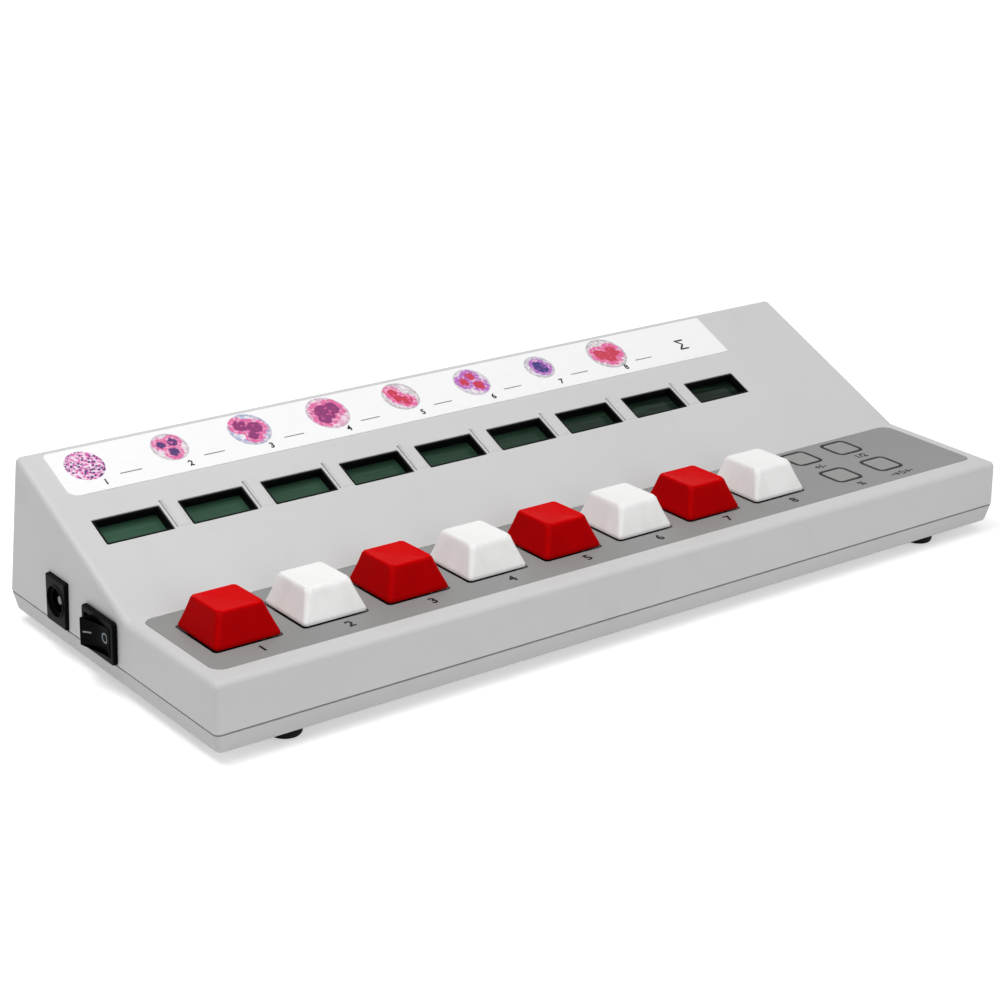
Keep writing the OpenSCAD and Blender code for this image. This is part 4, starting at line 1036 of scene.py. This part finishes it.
rocker = {"y": 52.8, "z": 14.15, "bezelWide": 15.6, "bezelHigh": 11.1, "out": 1.2, "soft": 0.4,
          "bodyWide": 13.0, "bodyHigh": 9.9, "deep": 11.0, "openWide": 12.9, "openHigh": 7.7,
          "cavityWide": 11.8, "cavity": 5.6, "pivotIn": 1.6, "tipOut": 4.22, "tipSide": 5.388,
          "sunk": 2.5, "paddleHigh": 7.4, "turn": 13.0, "paddleSoft": 0.4, "bezelCorner": 1.0,
          # one end of the paddle's plan, from the face round the tip and in to the pivot
          "tip": [[-4.12, 5.2], [-3.98, 5.36], [-3.7, 5.36], [-2.1, 5.02], [-0.5, 4.6],
                  [1.0, 3.3], [1.6, 2.6]],
          "ringMark": [2.7, 2.7, 1.35, 0.42], "ringAt": [2.2, 0, 0], "stroke": [-4.6, -2.5],
          "strokeHalf": 0.2}


# The switch's housing: from its back forwards, out over the bezel, round its edge, and
# into the opening.
def rockerFrame():
    r = rocker
    body = (r["bodyWide"], r["bodyHigh"], 0.3)
    rows = [(-r["deep"], *body), (0, *body), (0, r["bezelWide"], r["bezelHigh"], r["bezelCorner"])]
    rows += [(r["out"] - fall, r["bezelWide"] - 2 * inset, r["bezelHigh"] - 2 * inset,
              r["bezelCorner"] - inset) for inset, fall in quarter(r["soft"])]
    rows += [(r["out"], r["openWide"] + 0.3, r["openHigh"] + 0.3, 0.55),
             (r["out"] - 0.15, r["openWide"], r["openHigh"], 0.4),
             (0, r["openWide"], r["openHigh"], 0.4), (0, r["cavityWide"], r["openHigh"], 0.2),
             (-r["cavity"], r["cavityWide"], r["openHigh"], 0.2)]
    piece("rocker_bezel", onSide(stacked(rows), r["y"], r["z"]), blackPlastic, "case",
          "rocker_frame", ["rocker_housing"], 40, True)


# The hollow face of the paddle: how far it lies from the pivot, as a square curve of the
# distance from its middle.
def paddleFace(side):
    return -rocker["sunk"] - (rocker["tipOut"] - rocker["sunk"]) * (side / rocker["tipSide"]) ** 2


# A closed outline moved inwards along the mean of its two edges' directions.
def drawnIn(outline, inset):
    ahead = np.roll(outline, -1, 0) - outline
    ahead /= np.linalg.norm(ahead, axis=1)[:, None]
    mean = ahead + np.roll(ahead, 1, 0)
    mean /= np.linalg.norm(mean, axis=1)[:, None]
    return outline + inset * np.column_stack([-mean[:, 1], mean[:, 0]])


# From the paddle's own plan, about its pivot, into the case, turned to rest.
def paddlePlace(shell):
    a = math.radians(rocker["turn"])
    x, y, z = shell[0].T
    return np.column_stack([rocker["pivotIn"] + x * math.cos(a) - y * math.sin(a),
                            rocker["y"] + x * math.sin(a) + y * math.cos(a),
                            rocker["z"] + z]), shell[1]


# The paddle: its plan carried upwards, drawn in round both ends along a quarter circle.
def rockerPaddle():
    reach = rocker["tipSide"] - 0.35
    side = np.linspace(reach, -reach, 25)
    face = np.column_stack([paddleFace(side), side])
    tip = np.array(rocker["tip"])
    outline = np.concatenate([tip[:4][::-1], face, tip * [1, -1], tip[4:][::-1]])
    half, ends = rocker["paddleHigh"] / 2, quarter(rocker["paddleSoft"])
    rings = [lifted(drawnIn(outline, inset), -half + rise) for rise, inset in ends]
    rings += [lifted(drawnIn(outline, inset), half - rise) for rise, inset in ends[::-1]]
    piece("rocker_paddle_moulded", paddlePlace(loft(rings)), blackPlastic, "rocker",
          "rocker_paddle", ["rocker_paddle"], 40, True)


# A ring and a stroke that follow the hollow face, a hair above it: across towards the
# front, up, and out.
def rockerMarks():
    ring = shifted(band(*rocker["ringMark"]), rocker["ringAt"])
    half, t = rocker["strokeHalf"], printThick
    stroke = loft([np.array([[a, half, -t], [a, half, t], [a, -half, t], [a, -half, -t]])
                   for a in np.linspace(*rocker["stroke"], 7)])
    points, faces = together([ring, stroke])
    a, b, w = points.T
    shell = paddlePlace((np.column_stack([paddleFace(a) - w, -a, b]), faces))
    piece("rocker_marks", shell, whiteInk, "rocker", "rocker_paddle")


# The socket: its box, with rows of height and added width for the flange inside the wall,
# and its round mouth, with rows of radius and height above the face.
socketSize = {"y": 74.7, "z": 14.85, "wide": 10.0, "high": 12.3, "out": 0.9, "corner": 0.4,
              "soft": 0.35, "mouthRise": 0.05,
              "box": [(-13.1, 0), (-3.55, 0), (-3.55, 2.4), (-2.35, 2.4), (-2.35, 0)],
              "mouth": [(4.4, 0), (4.34, 0.22), (4.01, 0.22), (3.95, 0), (3.95, -0.6),
                        (3.27, -0.6), (3.15, -0.72), (3.15, -10.0)]}


# The power socket: from its back, over the flange inside the wall, to its face, up a low
# ring, down the stepped mouth and the bore.
def powerSocket():
    s = socketSize
    rows = [(w, s["wide"] + wider, s["high"]) for w, wider in s["box"]]
    rows += [(s["out"] - fall, s["wide"] - 2 * inset, s["high"] - 2 * inset)
             for inset, fall in quarter(s["soft"])]
    rings = [lifted(roundRing(wide, high, s["corner"]), w) for w, wide, high in rows]
    rings += [lifted(roundRing(2 * r, 2 * r, r, middle=(0, s["mouthRise"])), s["out"] + w)
              for r, w in s["mouth"]]
    piece("power_socket_shell", onSide(loft(rings), s["y"], s["z"]), socketPlastic, "case",
          "socket_plastic", ["power_socket_body"], 40, True)


print("side fittings")
rockerFrame()
rockerPaddle()
rockerMarks()
powerSocket()

# CAD nodes that keep their own shape, each with its finish.
chipLow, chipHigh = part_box("microcontroller")
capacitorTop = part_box("capacitors")[1].z
sounderLow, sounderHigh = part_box("sounder")
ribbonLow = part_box("ribbon_cable")[0]
finishes = {
    "case_screws": zinc, "overlay_film": filmPrint, "overlay_spacer": spacerFilm,
    "display_glasses": displayGlass, "display_board": boardGreen, "display_board_screws": zinc,
    "main_board": boardGreen, "main_board_screws": zinc, "key_switch_bases": switchPlastic,
    "key_switch_tops": switchPlastic, "tact_switch_bodies": switchPlastic,
    "rocker_terminals": brass, "power_socket_pin": nickel, "power_socket_tabs": tin,
    "microcontroller": chipEpoxy("chip_black_epoxy", (chipLow.y + chipHigh.y) / 2, 0.0068),
    "sounder": sounderCase("sounder_black_case", (sounderLow + sounderHigh) / 2),
    "capacitors": capacitorSleeve("capacitor_blue_sleeve", capacitorTop),
    "ribbon_cable": ribbonInsulation("ribbon_grey_insulation", ribbonLow.x),
    "ribbon_headers": headerPlastic,
    "power_leads": leadInsulation("lead_red_insulation", tone(176, 34, 40)),
}
for name in buttons["names"]:
    finishes.update({name + "_button": buttonPrint, name + "_plunger": plungerPlastic})
finishes.update({"key_stem_%d" % i: stemPlastic for i in range(1, keyRow["count"] + 1)})
for name, finish in finishes.items():
    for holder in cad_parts[name].material_slots:
        holder.material = finish


# A pale floor that keeps the object's shadow, with a little light of its own for what looks
# straight at it: more of it far away, where the lamps no longer reach. It reaches so many
# metres to each side.
def paleFloor(reach):
    mesh = bpy.data.meshes.new("floor")
    corners = [(-reach, -reach, 0), (reach, -reach, 0), (reach, reach, 0), (-reach, reach, 0)]
    mesh.from_pydata(corners, [], [(0, 1, 2, 3)])
    floor = linked("floor", mesh)
    f = Finish("pale_floor")
    body = f.mix(f.noise(60, 2.0), tone(240, 240, 240), tone(243, 243, 243))
    x, y, _ = f.place().parts()
    far = (x * x + y * y).math("SQRT").step(0.25, 1.8)
    glow = f.mix(far, (1, 1, 1, 1), (1.8, 1.8, 1.8, 1))
    f.fill(f.shader, {"Base Color": body, "Roughness": 0.9, "Specular IOR Level": 0.0,
                      "Emission Strength": 0.45,
                      "Emission Color": f.mix(f.looked(), (0, 0, 0, 1), glow)})
    mesh.materials.append(f.material)


# The surroundings look white, and light the object at a level.
def whiteSurroundings(level):
    world = bpy.data.worlds.new("studio")
    bpy.context.scene.world = world
    world.use_nodes = True
    nodes = Nodes(world.node_tree)
    strength = nodes.node("ShaderNodeMapRange", {}, {"Value": nodes.looked(), "To Min": level,
                                                     "To Max": 1.0})
    nodes.fill(world.node_tree.nodes["Background"], {"Color": (1, 1, 1, 1),
                                                     "Strength": strength})


# Each lamp's place, what it points at, its width in metres and its power in watts.
lamps = {"overhead_light": ((0.05, -0.2, 1.5), (0, 0, 0.02), 1.6, 6.6),
         "left_light": ((-0.32, 0.05, 0.8), (-0.1, 0, 0.02), 0.5, 3.0),
         "front_light": ((0.0, -1.5, 0.55), (0, 0, 0.03), 1.2, 5.0)}


def softLight(name, place, target, size, power):
    lamp = bpy.data.lights.new(name, "AREA")
    lamp.shape, lamp.size, lamp.energy = "DISK", size, power
    holder = linked(name, lamp)
    holder.location = place
    holder.rotation_euler = (Vector(target) - Vector(place)).to_track_quat("-Z", "Y").to_euler()


# The camera stands in front and to the left, a little above the object, and leans over to
# one side by as much as its right side rises.
view = {"place": (-0.367785, -0.458224, 0.248046), "forward": (0.57510, 0.73461, -0.36001),
        "rightRise": 0.0244, "lens": 83.9, "sensor": 36.0}


def camera():
    forward = Vector(view["forward"]).normalized()
    level = forward.cross(Vector((0, 0, 1))).normalized()
    up = level.cross(forward)
    roll = math.asin(view["rightRise"] / math.sqrt(1 - forward.z ** 2))
    right = level * math.cos(roll) + up * math.sin(roll)
    above = right.cross(forward)
    lens = bpy.data.cameras.new("camera")
    lens.lens, lens.sensor_width, lens.clip_start = view["lens"], view["sensor"], 0.01
    holder = linked("camera", lens)
    stance = Matrix((right, above, -forward)).transposed().to_4x4()
    holder.matrix_world = Matrix.Translation(view["place"]) @ stance
    bpy.context.scene.camera = holder


print("floor, light and camera")
bpy.context.scene.view_settings.view_transform = "Standard"
paleFloor(6.0)
whiteSurroundings(0.27)
for name, settings in lamps.items():
    softLight(name, *settings)
camera()

bpy.context.view_layer.update()
